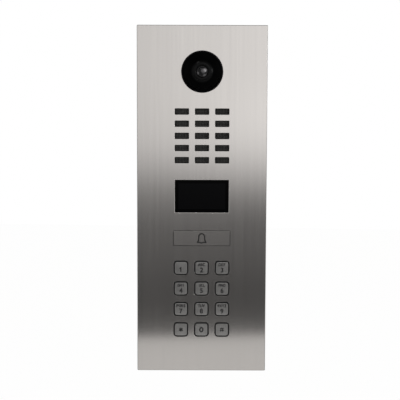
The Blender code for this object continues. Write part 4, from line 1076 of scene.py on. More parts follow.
# Repeats made with Geometry Nodes


def node_group(name, inputs):
    """A Geometry Nodes tree with named inputs and one geometry outlet."""
    tree = bpy.data.node_groups.new(name, "GeometryNodeTree")
    for label, kind in inputs:
        tree.interface.new_socket(label, in_out="INPUT", socket_type=kind)
    tree.interface.new_socket("Geometry", in_out="OUTPUT", socket_type="NodeSocketGeometry")
    return Nodes(tree)


def end_group(nodes, geometry, material):
    """Close a tree: real geometry, smooth, in its material."""
    real = nodes.node("GeometryNodeRealizeInstances", {0: geometry})
    smooth = nodes.node("GeometryNodeSetShadeSmooth", {"Geometry": real})
    sockets = {"Geometry": smooth, "Material": material}
    finished = nodes.node("GeometryNodeSetMaterial", sockets)
    nodes.node("NodeGroupOutput", {0: finished})


def run_group(name, nodes, values, mesh=None):
    """Plain mesh that a tree makes from a mesh and named values."""
    holder = add_object(name, mesh or bpy.data.meshes.new(name))
    modifier = holder.modifiers.new(name, "NODES")
    modifier.node_group = nodes.tree
    for item in nodes.tree.interface.items_tree:
        if item.in_out == "INPUT" and item.name in values:
            modifier[item.identifier] = values[item.name]
    return plain_mesh(name, holder)


def crimped_wires(nodes, along, across, pitch, wire):
    """Wires along X, one above the other in Z, each bent over and under those that cross it."""
    points_each_space = 3.0
    section_points = 5
    first = nodes.vector(X=along * -0.5)
    last = nodes.vector(X=along * 0.5)
    line = nodes.node("GeometryNodeCurvePrimitiveLine", {"Start": first, "End": last})
    points = along / pitch * points_each_space + 1.0
    line = nodes.node("GeometryNodeResampleCurve", {"Curve": line, "Count": points}, mode="COUNT")
    x, _, _ = nodes.axes(nodes.node("GeometryNodeInputPosition"))
    wave = ((x + along * 0.5) / pitch * math.pi).maths("COSINE") * wire * 0.5
    offset = nodes.vector(Y=wave)
    bent = nodes.node("GeometryNodeSetPosition", {"Geometry": line, "Offset": offset})
    circle = {"Resolution": section_points, "Radius": wire * 0.5}
    section = nodes.node("GeometryNodeCurvePrimitiveCircle", circle)
    sockets = {"Curve": bent, "Profile Curve": section, "Fill Caps": True}
    one = nodes.node("GeometryNodeCurveToMesh", sockets)
    start = nodes.vector(Z=across * -0.5)
    step = nodes.vector(Z=pitch)
    sockets = {"Count": across / pitch + 1.0, "Start Location": start, "Offset": step}
    places = nodes.node("GeometryNodeMeshLine", sockets, mode="OFFSET")
    odd = nodes.node("GeometryNodeInputIndex") % 2.0
    turn = nodes.vector(X=odd * math.pi)
    turn = nodes.node("FunctionNodeEulerToRotation", {0: turn})
    sockets = {"Points": places, "Instance": one, "Rotation": turn}
    return nodes.node("GeometryNodeInstanceOnPoints", sockets)


def woven_wire(material):
    """Tree for wire cloth in the front plane, woven over one and under one."""
    kinds = ("Width", "Height", "Pitch", "Wire")
    nodes = node_group("woven_wire", [(label, "NodeSocketFloat") for label in kinds])
    width, height, pitch, wire = [nodes.node("NodeGroupInput", output=label) for label in kinds]
    level = crimped_wires(nodes, width, height, pitch, wire)
    upright = crimped_wires(nodes, height, width, pitch, wire)
    turn = (0.0, -math.pi / 2, math.pi)
    upright = nodes.node("GeometryNodeTransform", {"Geometry": upright, "Rotation": turn})
    both = nodes.node("GeometryNodeJoinGeometry", {0: level})
    nodes.feed(both.outlet.node.inputs[0], upright)
    end_group(nodes, both, material)
    return nodes


def like_pieces(material):
    """Tree that sets one piece at every point of a mesh."""
    inputs = [("Points", "NodeSocketGeometry"), ("Piece", "NodeSocketObject")]
    nodes = node_group("like_pieces", inputs)
    points = nodes.node("NodeGroupInput", output="Points")
    piece = nodes.node("NodeGroupInput", output="Piece")
    shape = nodes.node("GeometryNodeObjectInfo", {"Object": piece}, output="Geometry")
    sockets = {"Points": points, "Instance": shape}
    set_out = nodes.node("GeometryNodeInstanceOnPoints", sockets)
    end_group(nodes, set_out, material)
    return nodes


def set_out_pieces(name, bm, places, slot, stands_for=()):
    """Repeat one shape at several places as one piece of the housing."""
    pattern = add_object(f"{name}_pattern", close_mesh(f"{name}_pattern", bm))
    points = bpy.data.meshes.new(f"{name}_places")
    points.from_pydata([tuple(place) for place in places], [], [])
    nodes = like_pieces(finish_named(slot))
    mesh = run_group(name, nodes, {"Piece": pattern}, points)
    bpy.data.objects.remove(pattern)
    return finish_piece(name, mesh, slot, HOUSING, stands_for)


# Front panel


def slot_middles(sizes):
    """Middle of each speaker slot, row by row from the top left."""
    _, middle_z = front_middle("speaker_mesh")
    for row in range(sizes.slot_rows):
        for column in range(sizes.slot_columns):
            x = (column - (sizes.slot_columns - 1) / 2) * sizes.slot_pitch_x
            z = middle_z + ((sizes.slot_rows - 1) / 2 - row) * sizes.slot_pitch_z
            yield x, z


def cap_size(node, sizes, gap):
    """Width and height of a button's cap, from its flange in the CAD model."""
    width, height = front_size(node)
    rest = 2 * (gap + sizes.flange_lap)
    return width - rest, height - rest


def panel_openings(sizes):
    """Each opening with straight sides: its width, height and corner, its middle and its edge."""
    for middle in slot_middles(sizes):
        yield (sizes.slot_width, sizes.slot_height, sizes.slot_corner), middle, sizes.opening_edge
    buttons = [(f"key_{key}", sizes.key_gap, sizes.key_corner) for key in KEY_LETTERS]
    buttons.append(("call_button", sizes.button_gap, sizes.button_corner))
    for node, gap, corner in buttons:
        width, height = cap_size(node, sizes, gap)
        opening = (width + 2 * gap, height + 2 * gap, corner + gap)
        yield opening, front_middle(node), sizes.opening_edge
    width, height = [side - 2 * sizes.window_lap for side in front_size("sensor_window")]
    opening = (width, height, sizes.window_edge)
    yield opening, front_middle("sensor_window"), sizes.window_bevel


def panel_sheet(sizes):
    """Folded pan with rounded outer edges and a broken edge round each opening."""
    front = front_of("front_panel")
    back = front + SHEET
    rim = front_of("wall_seal") - SEAT
    width, height = front_size("front_panel")
    outer = (width, height, sizes.panel_corner)
    inner = (width - 2 * SHEET, height - 2 * SHEET, sizes.panel_corner / 2)
    edge = rounded_edge(*outer, front, sizes.panel_edge)
    bm = bmesh.new()
    faces = [add_sections(bm, [*edge, (*outer, rim), (*inner, rim), (*inner, back)])]
    for opening, middle, radius in panel_openings(sizes):
        edge = rounded_edge(*opening, front, radius, grow=1, ease=1)
        faces.append(add_sections(bm, [*edge, (*opening, back)], middle))
    neck = radius_of("camera_board") + SEAT
    faces.append(add_hole(bm, neck, front_middle("camera_dome"), (front, back)))
    for face in zip(*faces):
        fill_rings(bm, face)
    return bm


def screw_seats():
    """Solid shapes that cut the two countersunk seats into the panel's lower return."""
    bm = bmesh.new()
    for side in ("left", "right"):
        node = f"security_screw_{side}"
        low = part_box(node)[0].z
        middle = middle_of(node)
        head = radius_of(node) + SEAT
        shank = SHANK + SEAT
        profile = [
            (0.0, low - SHEET),
            (head, low - SHEET),
            (head, low),
            (shank, low + head - shank),
            (shank, low + 2 * SHEET),
            (0.0, low + 2 * SHEET),
        ]
        add_turned(bm, profile, (middle.x, middle.y, 0.0), SMALL_STEPS, upright=True)
    return bm


def make_front_panel(sizes, fixings):
    """The panel's sheet, with its screw seats cut, and the posts welded to its back."""
    cutter = add_object("screw_seats", close_mesh("screw_seats", screw_seats()))
    holder = add_object("panel_sheet", close_mesh("panel_sheet", panel_sheet(sizes)))
    cut = holder.modifiers.new("seats", "BOOLEAN")
    cut.operation = "DIFFERENCE"
    cut.object = cutter
    mesh = plain_mesh("panel_sheet", holder)
    bpy.data.objects.remove(cutter)
    finish_piece("panel_sheet", mesh, "steel", HOUSING, ["front_panel"])
    make_posts(fixings)


def four_of(name):
    """Names of the four CAD nodes of one set."""
    return [f"{name}_{index}" for index in range(1, 5)]


def make_posts(fixings):
    """Posts for the main board and standoffs for the keypad, each with a bore for its screw."""
    back = front_of("front_panel") + SHEET
    bore = SHANK + SEAT
    sets = (
        ("cover_posts", "cover_screw", "main_board", fixings.cover_post),
        ("keypad_standoffs", "keypad_screw", "keypad_backplate", fixings.keypad_post),
    )
    for name, screw, carried, radius in sets:
        end = front_of(carried) - SEAT
        bore_end = front_of(f"{screw}_1") - SEAT
        profile = [
            (0.0, back),
            (radius + fixings.weld_foot, back),
            (radius, back + fixings.weld_foot),
            (radius, end),
            (bore, end),
            (bore, bore_end),
            (0.0, bore_end),
        ]
        post = add_turned(bmesh.new(), profile, steps=SMALL_STEPS)
        places = [(x, 0.0, z) for x, z in map(front_middle, four_of(screw))]
        set_out_pieces(name, post, places, "steel")


# Camera eye


def dome_height(base, rise, reach):
    """Height of a round bulge at a distance from its middle."""
    ball = (base * base + rise * rise) / (2 * rise)
    return math.sqrt(ball * ball - reach * reach) - (ball - rise)


def make_camera_eye(eye):
    """Black dome with its flange, the lens ring with its stepped mouth, and the lens."""
    back = back_of("camera_dome")
    x, z = front_middle("camera_dome")
    axis = (x, 0.0, z)
    flange = radius_of("camera_dome")
    lens_ring = radius_of("lens_barrel")
    neck = radius_of("camera_board")
    plateau = lens_ring + SEAT
    base = flange - eye.flange_rim
    panel_front = front_of("front_panel")
    seat = panel_front - SEAT
    flange_front = seat - eye.flange_thickness
    dome = []
    for step in range(DOME_STEPS + 1):
        reach = base + (plateau - base) * step / DOME_STEPS
        dome.append((reach, flange_front - dome_height(base, eye.dome_rise, reach)))
    lens_seat = dome[-1][1] + eye.ring_seat
    lens_body = lens_ring - eye.ring_lap
    edge = [(flange - inset, flange_front + depth) for inset, depth in quarter_round(eye.flange_edge)]
    profile = [
        (neck - eye.neck_wall, back),
        (neck, back),
        (neck, seat),
        (flange, seat),
        *reversed(edge),
        (base + 2 * eye.groove, flange_front),
        (base + eye.groove, flange_front + eye.groove),
        *dome,
        (plateau, lens_seat),
        (lens_body + SEAT, lens_seat),
        (lens_body + SEAT, panel_front),
        (neck - eye.neck_wall, panel_front),
    ]
    bm = add_turned(bmesh.new(), profile, axis)
    make_piece("eye_dome", bm, "eye", HOUSING, ["camera_dome"])
    make_lens_ring(eye, axis, lens_ring, lens_body, lens_seat)
    make_lens(eye, axis)


def make_lens_ring(eye, axis, lens_ring, lens_body, lens_seat):
    """Ring round the front lens, with a rounded mouth and a shoulder that sits on the dome."""
    front, back = front_of("lens_barrel"), back_of("lens_barrel")
    mouth = radius_of("lens_glass") + SEAT
    glass_seat = back_of("lens_glass") + SEAT
    edge = [(lens_ring - inset, front + depth) for inset, depth in quarter_round(eye.ring_edge)]
    lip = [(mouth + inset, front + depth) for inset, depth in quarter_round(eye.mouth_edge, MOUTH_STEPS)]
    profile = [
        (eye.lens_bore, glass_seat),
        (mouth, glass_seat),
        *reversed(lip),
        *edge,
        (lens_ring, lens_seat - SEAT),
        (lens_body, lens_seat - SEAT),
        (lens_body, back),
        (eye.lens_bore, back),
    ]
    bm = add_turned(bmesh.new(), profile, axis)
    make_piece("lens_ring", bm, "eye", HOUSING, ["lens_barrel"])


def make_lens(eye, axis):
    """Front lens, flat behind and bulged before."""
    low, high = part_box("lens_glass")
    radius = radius_of("lens_glass")
    shoulder = low.y + eye.lens_rise
    profile = [(0.0, high.y), (radius, high.y)]
    for step in range(LENS_STEPS + 1):
        reach = radius * (1 - step / LENS_STEPS)
        profile.append((reach, shoulder - dome_height(radius, eye.lens_rise, reach)))
    bm = add_turned(bmesh.new(), profile, axis)
    make_piece("lens_front", bm, "glass", HOUSING, ["lens_glass"])


# Speaker grille


def make_speaker_weave(sizes):
    """Woven wire behind the slots, and the cloth that backs it."""
    back = back_of("speaker_mesh")
    width, height = front_size("speaker_mesh")
    wire = sizes.wire_diameter
    values = {
        "Width": width - wire,
        "Height": height - wire,
        "Pitch": (width - wire) / sizes.wire_count,
        "Wire": wire,
    }
    mesh = run_group("speaker_weave", woven_wire(finish_named("mesh")), values)
    mesh.transform(Matrix.Translation(middle_of("speaker_mesh")))
    finish_piece("speaker_weave", mesh, "mesh", HOUSING, ["speaker_mesh"])
    depths = (back - sizes.cloth_thickness, back)
    sections = [(width, height, sizes.slot_corner, depth) for depth in depths]
    bm = bmesh.new()
    for ring in add_sections(bm, sections, front_middle("speaker_mesh")):
        bm.faces.new(ring)
    cloth = make_piece("speaker_cloth", bm, "cloth")


# Sensor window


def make_sensor_window(sizes):
    """Smoked pane with a rounded front edge, a hollow and a flange behind the panel."""
    low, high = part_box("sensor_window")
    corner = sizes.window_edge
    whole = front_size("sensor_window")
    face = [side - 2 * (sizes.window_lap + sizes.window_fit) for side in whole]
    hollow = [side - 2 * sizes.window_wall for side in face]
    flange_front = high.y - sizes.window_flange
    sections = [
        *rounded_edge(*face, corner, low.y, sizes.window_edge, ease=0),
        (*face, corner, flange_front),
        (*whole, corner, flange_front),
        (*whole, corner, high.y),
        (*hollow, corner, high.y),
        (*hollow, corner, low.y + sizes.window_pane),
    ]
    bm = bmesh.new()
    for ring in add_sections(bm, sections, front_middle("sensor_window")):
        fill_rings(bm, [ring])
    make_piece("window_pane", bm, "window", HOUSING, ["sensor_window"])


# Buttons


def push_cap(node, sizes, gap, corner, edge, crown):
    """A button's cap: crowned face, rounded edge, sides and retaining flange."""
    low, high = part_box(node)
    width, height = cap_size(node, sizes, gap)
    front = low.y + crown
    flange_front = high.y - sizes.flange_thickness
    face = (width - 2 * edge, height - 2 * edge, corner - edge / 2)
    flange = (*front_size(node), corner + sizes.flange_lap)
    sections = []
    for part in [step / CAP_STEPS for step in range(1, CAP_STEPS)] + [CAP_FACE]:
        sections.append((*[side * part for side in face], front - crown * (1 - part * part)))
    sections += [
        *rounded_edge(width, height, corner, front, edge),
        (width, height, corner, flange_front),
        (*flange, flange_front),
        (*flange, high.y),
    ]
    bm = bmesh.new()
    first, last = add_sections(bm, sections, front_middle(node))
    bm.faces.new(first).smooth = True
    bm.faces.new(last)
    return bm


def print_polygons(text, height, place, strike, widest=math.inf):
    """Flat polygons of bold print about an (x, z) place, squeezed if too wide: four strikes of it."""
    curve = bpy.data.curves.new("print", "FONT")
    curve.body = text
    curve.resolution_u = PRINT_STEPS
    curve.fill_mode = "NONE"
    mesh = plain_mesh("print", add_object("print", curve))
    bpy.data.curves.remove(curve)
    outline = [vert.co.xy for vert in mesh.vertices]
    # Points follow each other round a loop, so only the edge that closes it joins its two ends
    loops = []
    for edge in mesh.edges:
        first, last = sorted(edge.vertices)
        if last - first > 1:
            loops.append(list(range(first, last + 1)))
    triangles = list(fill_between(outline, loops))
    lows = [min(point[axis] for point in outline) for axis in range(2)]
    highs = [max(point[axis] for point in outline) for axis in range(2)]
    scale_z = height / (highs[1] - lows[1])
    scale_x = min(scale_z, widest / (highs[0] - lows[0]))
    for side_x, side_z in ((-1, -1), (-1, 1), (1, -1), (1, 1)):
        x = place[0] + side_x * strike - scale_x * (lows[0] + highs[0]) / 2
        z = place[1] + side_z * strike - scale_z * (lows[1] + highs[1]) / 2
        points = [(x + scale_x * point.x, z + scale_z * point.y) for point in outline]
        for triangle in triangles:
            yield [points[index] for index in triangle]


def one_paths(drop):
    """Path of a one with its flag in a box one high, lowered from its middle."""
    stem, flag, flag_z = -0.03, -0.29, 0.26
    yield [(flag, flag_z - drop), (stem, 0.5 - drop), (stem, -0.5 - drop)]


def zero_paths():
    """Path of a round nought in a box one high, from its middle."""
    half_width, half_height = 0.29, 0.4
    angles = [2 * math.pi * step / SMALL_STEPS for step in range(SMALL_STEPS + 1)]
    yield [(half_width * math.cos(angle), half_height * math.sin(angle)) for angle in angles]


def star_paths():
    """Paths of a star in a box one high, from its middle."""
    for turn in range(3):
        angle = math.pi * (turn / 3 + 1 / 2)
        x, z = math.cos(angle) / 2, math.sin(angle) / 2
        yield [(-x, -z), (x, z)]


def hash_paths():
    """Paths of a hash in a box one high, from its middle."""
    apart, slant = 0.22, 0.05
    for side in (-1, 1):
        yield [(side * apart - slant, -0.5), (side * apart + slant, 0.5)]
        yield [(-0.5, side * apart), (0.5, side * apart)]


def line_polygons(paths, size, line):
    """Flat polygons of lines along paths in a box one high."""
    for path in paths:
        points = [Vector(point) * size for point in path]
        left, right = [], []
        for index, point in enumerate(points):
            before = points[max(index - 1, 0)]
            after = points[min(index + 1, len(points) - 1)]
            into = (point - before).normalized() if index else (after - point).normalized()
            out = (after - point).normalized() if index < len(points) - 1 else into
            normal = Vector((-(into + out).y, (into + out).x)).normalized()
            reach = line / 2 / max(Vector((-into.y, into.x)).dot(normal), MITRE_LIMIT)
            left.append(point + normal * reach)
            right.append(point - normal * reach)
        for index in range(len(points) - 1):
            yield [left[index], right[index], right[index + 1], left[index + 1]]


def raised_print(polygons, ink):
    """Solid print, half above the plane y = 0 and half behind it: the union of flat polygons."""
    points, loops = [], []
    for polygon in polygons:
        loops.append(list(range(len(points), len(points) + len(polygon))))
        points += polygon
    places, triangles, _, about = fill_loops(points, loops)
    bm = bmesh.new()
    corners = [bm.verts.new((place.x, ink / 2, place.y)) for place in places]
    for triangle, around in zip(triangles, about):
        if around:
            bm.faces.new([corners[index] for index in triangle])
    loose = [corner for corner in corners if not corner.link_faces]
    bmesh.ops.delete(bm, geom=loose, context="VERTS")
    solid = bmesh.ops.extrude_face_region(bm, geom=bm.faces[:])
    raised = [item for item in solid["geom"] if isinstance(item, bmesh.types.BMVert)]
    bmesh.ops.translate(bm, verts=raised, vec=(0.0, -ink, 0.0))
    return bm


def legend_polygons(key, signs):
    """Flat polygons of the digit or sign of a key, and of the letters above it."""
    drop = signs.digit_drop / signs.digit_height
    lines = {
        "1": (one_paths(drop), signs.digit_height, signs.one_line),
        "0": (zero_paths(), signs.zero_height, signs.zero_line),
        "star": (star_paths(), signs.star_height, signs.star_line),
        "hash": (hash_paths(), signs.hash_height, signs.hash_line),
    }
    if key in lines:
        yield from line_polygons(*lines[key])
        return
    yield from print_polygons(key, signs.digit_height, (0.0, -signs.digit_drop), signs.strike)
    letters = KEY_LETTERS[key]
    for index, letter in enumerate(letters):
        place = ((index - (len(letters) - 1) / 2) * signs.letter_pitch, signs.letter_rise)
        size = (signs.letter_height, place, signs.strike, signs.letter_width)
        yield from print_polygons(letter, *size)


def make_legend(key, sizes, signs):
    """Print on one key, laid on its crowned face."""
    node = f"key_{key}"
    front = front_of(node)
    x, z = front_middle(node)
    bm = raised_print(legend_polygons(key, signs), signs.ink_thickness)
    half = cap_size(node, sizes, sizes.key_gap)[0] / 2 - sizes.key_edge
    for vert in bm.verts:
        part = min(max(abs(vert.co.x), abs(vert.co.z)) / half, 1.0)
        vert.co.y += front + sizes.key_crown * part * part
    bmesh.ops.translate(bm, verts=bm.verts, vec=(x, 0.0, z))
    make_piece(f"{node}_legend", bm, "ink", node)


def make_keys(sizes, signs):
    """The twelve keys and their print, each on its own body."""
    for key in KEY_LETTERS:
        node = f"key_{key}"
        shape = (sizes.key_gap, sizes.key_corner, sizes.key_edge, sizes.key_crown)
        make_piece(f"{node}_cap", push_cap(node, sizes, *shape), "key", node, [node])
        make_legend(key, sizes, signs)


def bell_paths():
    """Paths of the bell in a box one high, from its middle: the body, open below, and its clapper."""
    shoulder, crown_z = 0.29, 0.17
    rim_z, flare, gap = -0.40, 0.42, 0.13
    body = [(-gap, rim_z), (-flare, rim_z), (-0.33, -0.22), (-shoulder, -0.02), (-shoulder, crown_z)]
    side = len(body)
    steps = 14
    for step in range(1, steps):
        angle = math.pi * (1 - step / steps)
        body.append((shoulder * math.cos(angle), crown_z + shoulder * math.sin(angle)))
    yield body + [(-x, z) for x, z in body[side - 1 :: -1]]
    clapper = 0.09
    steps = 8
    angles = [math.pi * (1 + step / steps) for step in range(steps + 1)]
    yield [(clapper * math.cos(angle), rim_z + clapper * math.sin(angle)) for angle in angles]


def make_call_button(sizes, signs):
    """Call button, flat, with its bell."""
    node = "call_button"
    x, z = front_middle(node)
    shape = (sizes.button_gap, sizes.button_corner, sizes.button_edge, 0.0)
    make_piece("call_bar", push_cap(node, sizes, *shape), "steel", node, [node])
    bell = line_polygons(bell_paths(), signs.bell_size, signs.bell_line)
    bm = raised_print(bell, signs.ink_thickness)
    bmesh.ops.translate(bm, verts=bm.verts, vec=(x, front_of(node), z))
    make_piece("call_bell", bm, "ink", node)


# Keypad mat


def dome_places(front):
    """Name, joint and (x, z) middle of each rubber dome: three under the call button, one per key."""
    x, z = front_middle("call_button")
    width, _ = cap_size("call_button", front, front.button_gap)
    for name, side in (("left", -1), ("middle", 0), ("right", 1)):
        yield f"call_dome_{name}", "call_button_press", (x + side * width / 3, z)
    for key in KEY_LETTERS:
        yield f"key_{key}_dome", f"key_{key}_press", front_middle(f"key_{key}")


def make_keypad_mat(sizes, front):
    """Rubber mat with a rim and a pocket behind each dome, and the domes on it."""
    low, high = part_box("keypad_mat")
    sheet_front = high.y - sizes.mat_thickness
    pocket = sizes.dome_top / 2 - sizes.dome_wall
    width, height = front_size("keypad_mat")
    outer = (width, height, sizes.mat_corner)
    inner = (width - 2 * sizes.mat_rim, height - 2 * sizes.mat_rim, sizes.mat_corner)
    sections = [(*outer, high.y), (*outer, low.y), (*inner, low.y), (*inner, sheet_front)]
    bm = bmesh.new()
    faces = [add_sections(bm, sections, front_middle("keypad_mat"))]
    for _, _, place in dome_places(front):
        faces.append(add_hole(bm, pocket, place, (high.y, sheet_front), SMALL_STEPS))
    for face in zip(*faces):
        fill_rings(bm, face)
    make_piece("mat_sheet", bm, "rubber", HOUSING, ["keypad_mat"])
    make_domes(sizes, front, sheet_front, pocket)


def make_domes(sizes, front, sheet_front, pocket):
    """Rubber domes, one behind each button."""
    top = back_of("call_button") + SEAT
    profile = [
        (0.0, top),
        (sizes.dome_top / 2, top),
        (sizes.dome_base / 2, sheet_front),
        (pocket, sheet_front),
        (pocket, top + sizes.dome_thickness),
        (0.0, top + sizes.dome_thickness),
    ]
    for name, joint, (x, z) in dome_places(front):
        dome = make_piece(name, add_turned(bmesh.new(), profile, (x, 0.0, z), SMALL_STEPS), "rubber")
        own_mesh(dome)


# Box, screws and inner parts


def pan_screw(node, fixings):
    """Pan-headed screw with a round socket, its axis through the origin along Y."""
    low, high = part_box(node)
    head = radius_of(node)
    head_front = high.y - fixings.head_height
    socket_end = high.y - fixings.socket_depth
    pitch = fixings.thread_pitch
    root = SHANK - fixings.thread_depth
    thread = []
    for turn in range(int((head_front - low.y + WELD) / pitch)):
        depth = low.y + turn * pitch
        thread += [(root, depth), (SHANK, depth + pitch / 2)]
    edge = [(head - inset, high.y - depth) for inset, depth in quarter_round(fixings.head_edge)]
    profile = [
        (0.0, low.y),
        *thread,
        (SHANK, head_front),
        (head, head_front),
        *reversed(edge),
        (fixings.pan_socket, high.y),
        (fixings.pan_socket, socket_end),
        (0.0, socket_end),
    ]
    return add_turned(bmesh.new(), profile, steps=SMALL_STEPS)


def security_screw(node, fixings):
    """Countersunk screw with a pin in its socket, its axis through the origin along Z."""
    low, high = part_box(node)
    head = radius_of(node)
    socket, bevel = fixings.security_socket, fixings.head_bevel
    profile = [
        (0.0, low.z + fixings.pin_drop),
        (fixings.pin, low.z + fixings.pin_drop),
        (fixings.pin, low.z + fixings.socket_depth),
        (socket, low.z + fixings.socket_depth),
        (socket, low.z),
        (head - bevel, low.z),
        (head, low.z + bevel),
        (SHANK, low.z + head - SHANK),
        (SHANK, high.z),
        (0.0, high.z),
    ]
    return add_turned(bmesh.new(), profile, steps=SMALL_STEPS, upright=True)


def make_screws(fixings):
    """Screws of the rear cover, the keypad and the panel's lower edge."""
    for name in ("cover_screw", "keypad_screw"):
        nodes = four_of(name)
        places = [(x, 0.0, z) for x, z in map(front_middle, nodes)]
        set_out_pieces(f"{name}s", pan_screw(nodes[0], fixings), places, "screw", nodes)
    nodes = ["security_screw_left", "security_screw_right"]
    places = [(middle_of(node).x, middle_of(node).y, 0.0) for node in nodes]
    set_out_pieces("security_screws", security_screw(nodes[0], fixings), places, "screw", nodes)


def make_back_box(fixings):
    """In-wall box with its sharp edges broken."""
    mesh = softened_copy("back_box", fixings.box_edge)
    finish_piece("box_shell", mesh, "zinc", HOUSING, ["back_box"])


def dress_inner_parts():
    """Give every CAD node that still shows the finish of its slot."""
    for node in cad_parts.values():
        if node.hide_render:
            continue
        slot = node.material_slots[0].material.name.split(".")[0]
        if slot in FINISHES:
            node.material_slots[0].material = finish_named(slot)


# Stage


def floor_finish(tones):
    """Matt floor that glows where the camera sees it, so that it renders white."""
    finish = Finish("studio_floor")
    grain = finish.noise(30.0, detail=3.0)
    finish.surface(
        {
            "Base Color": finish.shades(grain, tones.floor, 0.985, 1.0),
            "Roughness": 0.9,
            "Specular IOR Level": 0.1,
        }
    )
    glow_share, glow_level = 0.85, 1.05
    white = (1.0, 1.0, 1.0, 1.0)
    seen = finish.node("ShaderNodeLightPath", output="Is Camera Ray")
    glow = finish.node("ShaderNodeEmission", {"Color": white, "Strength": glow_level})
    matt = Socket(finish, finish.shader.outputs[0])
    whole = finish.node("ShaderNodeMixShader", {0: glow_share * seen, 1: matt, 2: glow})
    finish.feed(finish.tree.nodes["Material Output"].inputs["Surface"], whole)
    return finish.material


def make_floor(studio, tones):
    """Pale floor that keeps the panel's shadow."""
    half = studio.floor_width / 2
    front, back = -studio.floor_reach, studio.floor_depth
    height = cad_low.z - studio.floor_drop
    sides = ((-half, front), (half, front), (half, back), (-half, back))
    mesh = bpy.data.meshes.new("floor")
    mesh.from_pydata([(x, y, height) for x, y in sides], [], [(0, 1, 2, 3)])
    edge = Vector((0.0, front, 0.0))
    turn = Matrix.Rotation(-studio.floor_turn, 4, "Z")
    mesh.transform(Matrix.Translation(edge) @ turn @ Matrix.Translation(-edge))
    floor = add_object("floor", mesh)
    mesh.materials.append(floor_finish(tones))


def make_world(studio):
    """Pale studio that dims towards the floor before the panel and is brighter at the right."""
    world = bpy.data.worlds.new("studio")
    bpy.context.scene.world = world
    world.use_nodes = True
    nodes = Nodes(world.node_tree)
    x, _, z = nodes.axes(nodes.node("ShaderNodeTexCoord", output="Generated"))
    height = nodes.spread(z, -STUDIO_BAND, STUDIO_BAND, kind="LINEAR")
    level = nodes.ramp(height, STUDIO_LEVELS)
    leaning = nodes.ramp(height, STUDIO_LEAN)
    lean_reach, left_lean, right_lean = 0.12, -0.41, 0.5
    lean = nodes.spread(x, -lean_reach, lean_reach, left_lean, right_lean, kind="LINEAR") * leaning
    top, top_level = 0.8, 0.3
    overhead = nodes.spread(z, STUDIO_BAND, top, 1.0, top_level)
    side_start, side_end, side_level = 0.25, 0.7, 0.75
    aside = nodes.spread(abs(x), side_start, side_end)
    mirrored_level = nodes.level_mix(aside, level * (1 + lean), side_level) * overhead
    path = nodes.node("ShaderNodeLightPath").outlet.node
    kinds = ("Camera", "Glossy", "Transmission")
    seen, glossy, clear = [Socket(nodes, path.outputs[f"Is {kind} Ray"]) for kind in kinds]
    mirrored = glossy.maths("MAXIMUM", clear)
    lit = mirrored * mirrored_level + (1 - mirrored) * studio.ambient
    background = nodes.tree.nodes["Background"]
    background.inputs["Color"].default_value = (1.0, 1.0, 1.0, 1.0)
    nodes.feed(background.inputs["Strength"], seen + (1 - seen) * lit)


def add_soft_box(name, place, target, size, power):
    """Add a soft box that faces a point."""
    lamp = bpy.data.lights.new(name, "AREA")
    lamp.shape = "RECTANGLE"
    lamp.size, lamp.size_y = size
    lamp.energy = power
    holder = add_object(name, lamp)
    holder.location = place
    holder.rotation_euler = (Vector(target) - Vector(place)).to_track_quat("-Z", "Y").to_euler()


def make_lamps(studio):
    """A tall soft box at the right, and a smaller one above at the left."""
    aim_height = 0.05
    target = (0.0, front_of("front_panel"), aim_height)
    boxes = (
        ("right_soft_box", (1.12, -1.05, 0.27), (0.24, 0.4), studio.key_light),
        ("left_soft_box", (-0.4, -0.85, 1.0), (0.2, 0.2), studio.fill_light),
    )
    for name, place, size, power in boxes:
        add_soft_box(name, place, target, size, power)


def make_camera(studio):
    """Camera before the panel and a little above its middle, looking slightly down."""
    target = Vector((0.0, front_of("front_panel"), middle_of("front_panel").z))
    back = Vector((0.0, -math.cos(studio.tilt), math.sin(studio.tilt)))
    camera = bpy.data.cameras.new("camera")
    camera.lens = studio.focal
    camera.sensor_width = studio.film
    camera.shift_x = studio.shift_x
    camera.shift_y = studio.shift_y
    camera.clip_start = 10 * MM
    holder = add_object("camera", camera)
    holder.location = target + back * studio.distance
    roll = Quaternion((0.0, 0.0, 1.0), studio.roll)
    holder.rotation_euler = ((-back).to_track_quat("-Z", "Y") @ roll).to_euler()
    bpy.context.scene.camera = holder


# Operators


class INTERCOM_OT_front_panel(bpy.types.Operator):
    """Make the brushed steel panel and the posts on its back"""

    bl_idname = "intercom.front_panel"
    bl_label = "Front panel"

    def execute(self, context):
        make_front_panel(context.scene.intercom_front, context.scene.intercom_fixings)
        return {"FINISHED"}


class INTERCOM_OT_camera_eye(bpy.types.Operator):
    """Make the camera's dome, lens ring and lens"""

    bl_idname = "intercom.camera_eye"
    bl_label = "Camera eye"

    def execute(self, context):
        make_camera_eye(context.scene.intercom_eye)
        return {"FINISHED"}


class INTERCOM_OT_speaker_weave(bpy.types.Operator):
    """Weave the wire behind the speaker slots"""

    bl_idname = "intercom.speaker_weave"
    bl_label = "Speaker mesh"

    def execute(self, context):
        make_speaker_weave(context.scene.intercom_front)
        return {"FINISHED"}


class INTERCOM_OT_sensor_window(bpy.types.Operator):
    """Make the smoked window"""

    bl_idname = "intercom.sensor_window"
    bl_label = "Sensor window"

    def execute(self, context):
        make_sensor_window(context.scene.intercom_front)
        return {"FINISHED"}


class INTERCOM_OT_call_button(bpy.types.Operator):
    """Make the call button and its bell"""

    bl_idname = "intercom.call_button"
    bl_label = "Call button"

    def execute(self, context):
        make_call_button(context.scene.intercom_front, context.scene.intercom_signs)
        return {"FINISHED"}


class INTERCOM_OT_keys(bpy.types.Operator):
    """Make the twelve keys and their print"""

    bl_idname = "intercom.keys"
    bl_label = "Keys"

    def execute(self, context):
        make_keys(context.scene.intercom_front, context.scene.intercom_signs)
        return {"FINISHED"}


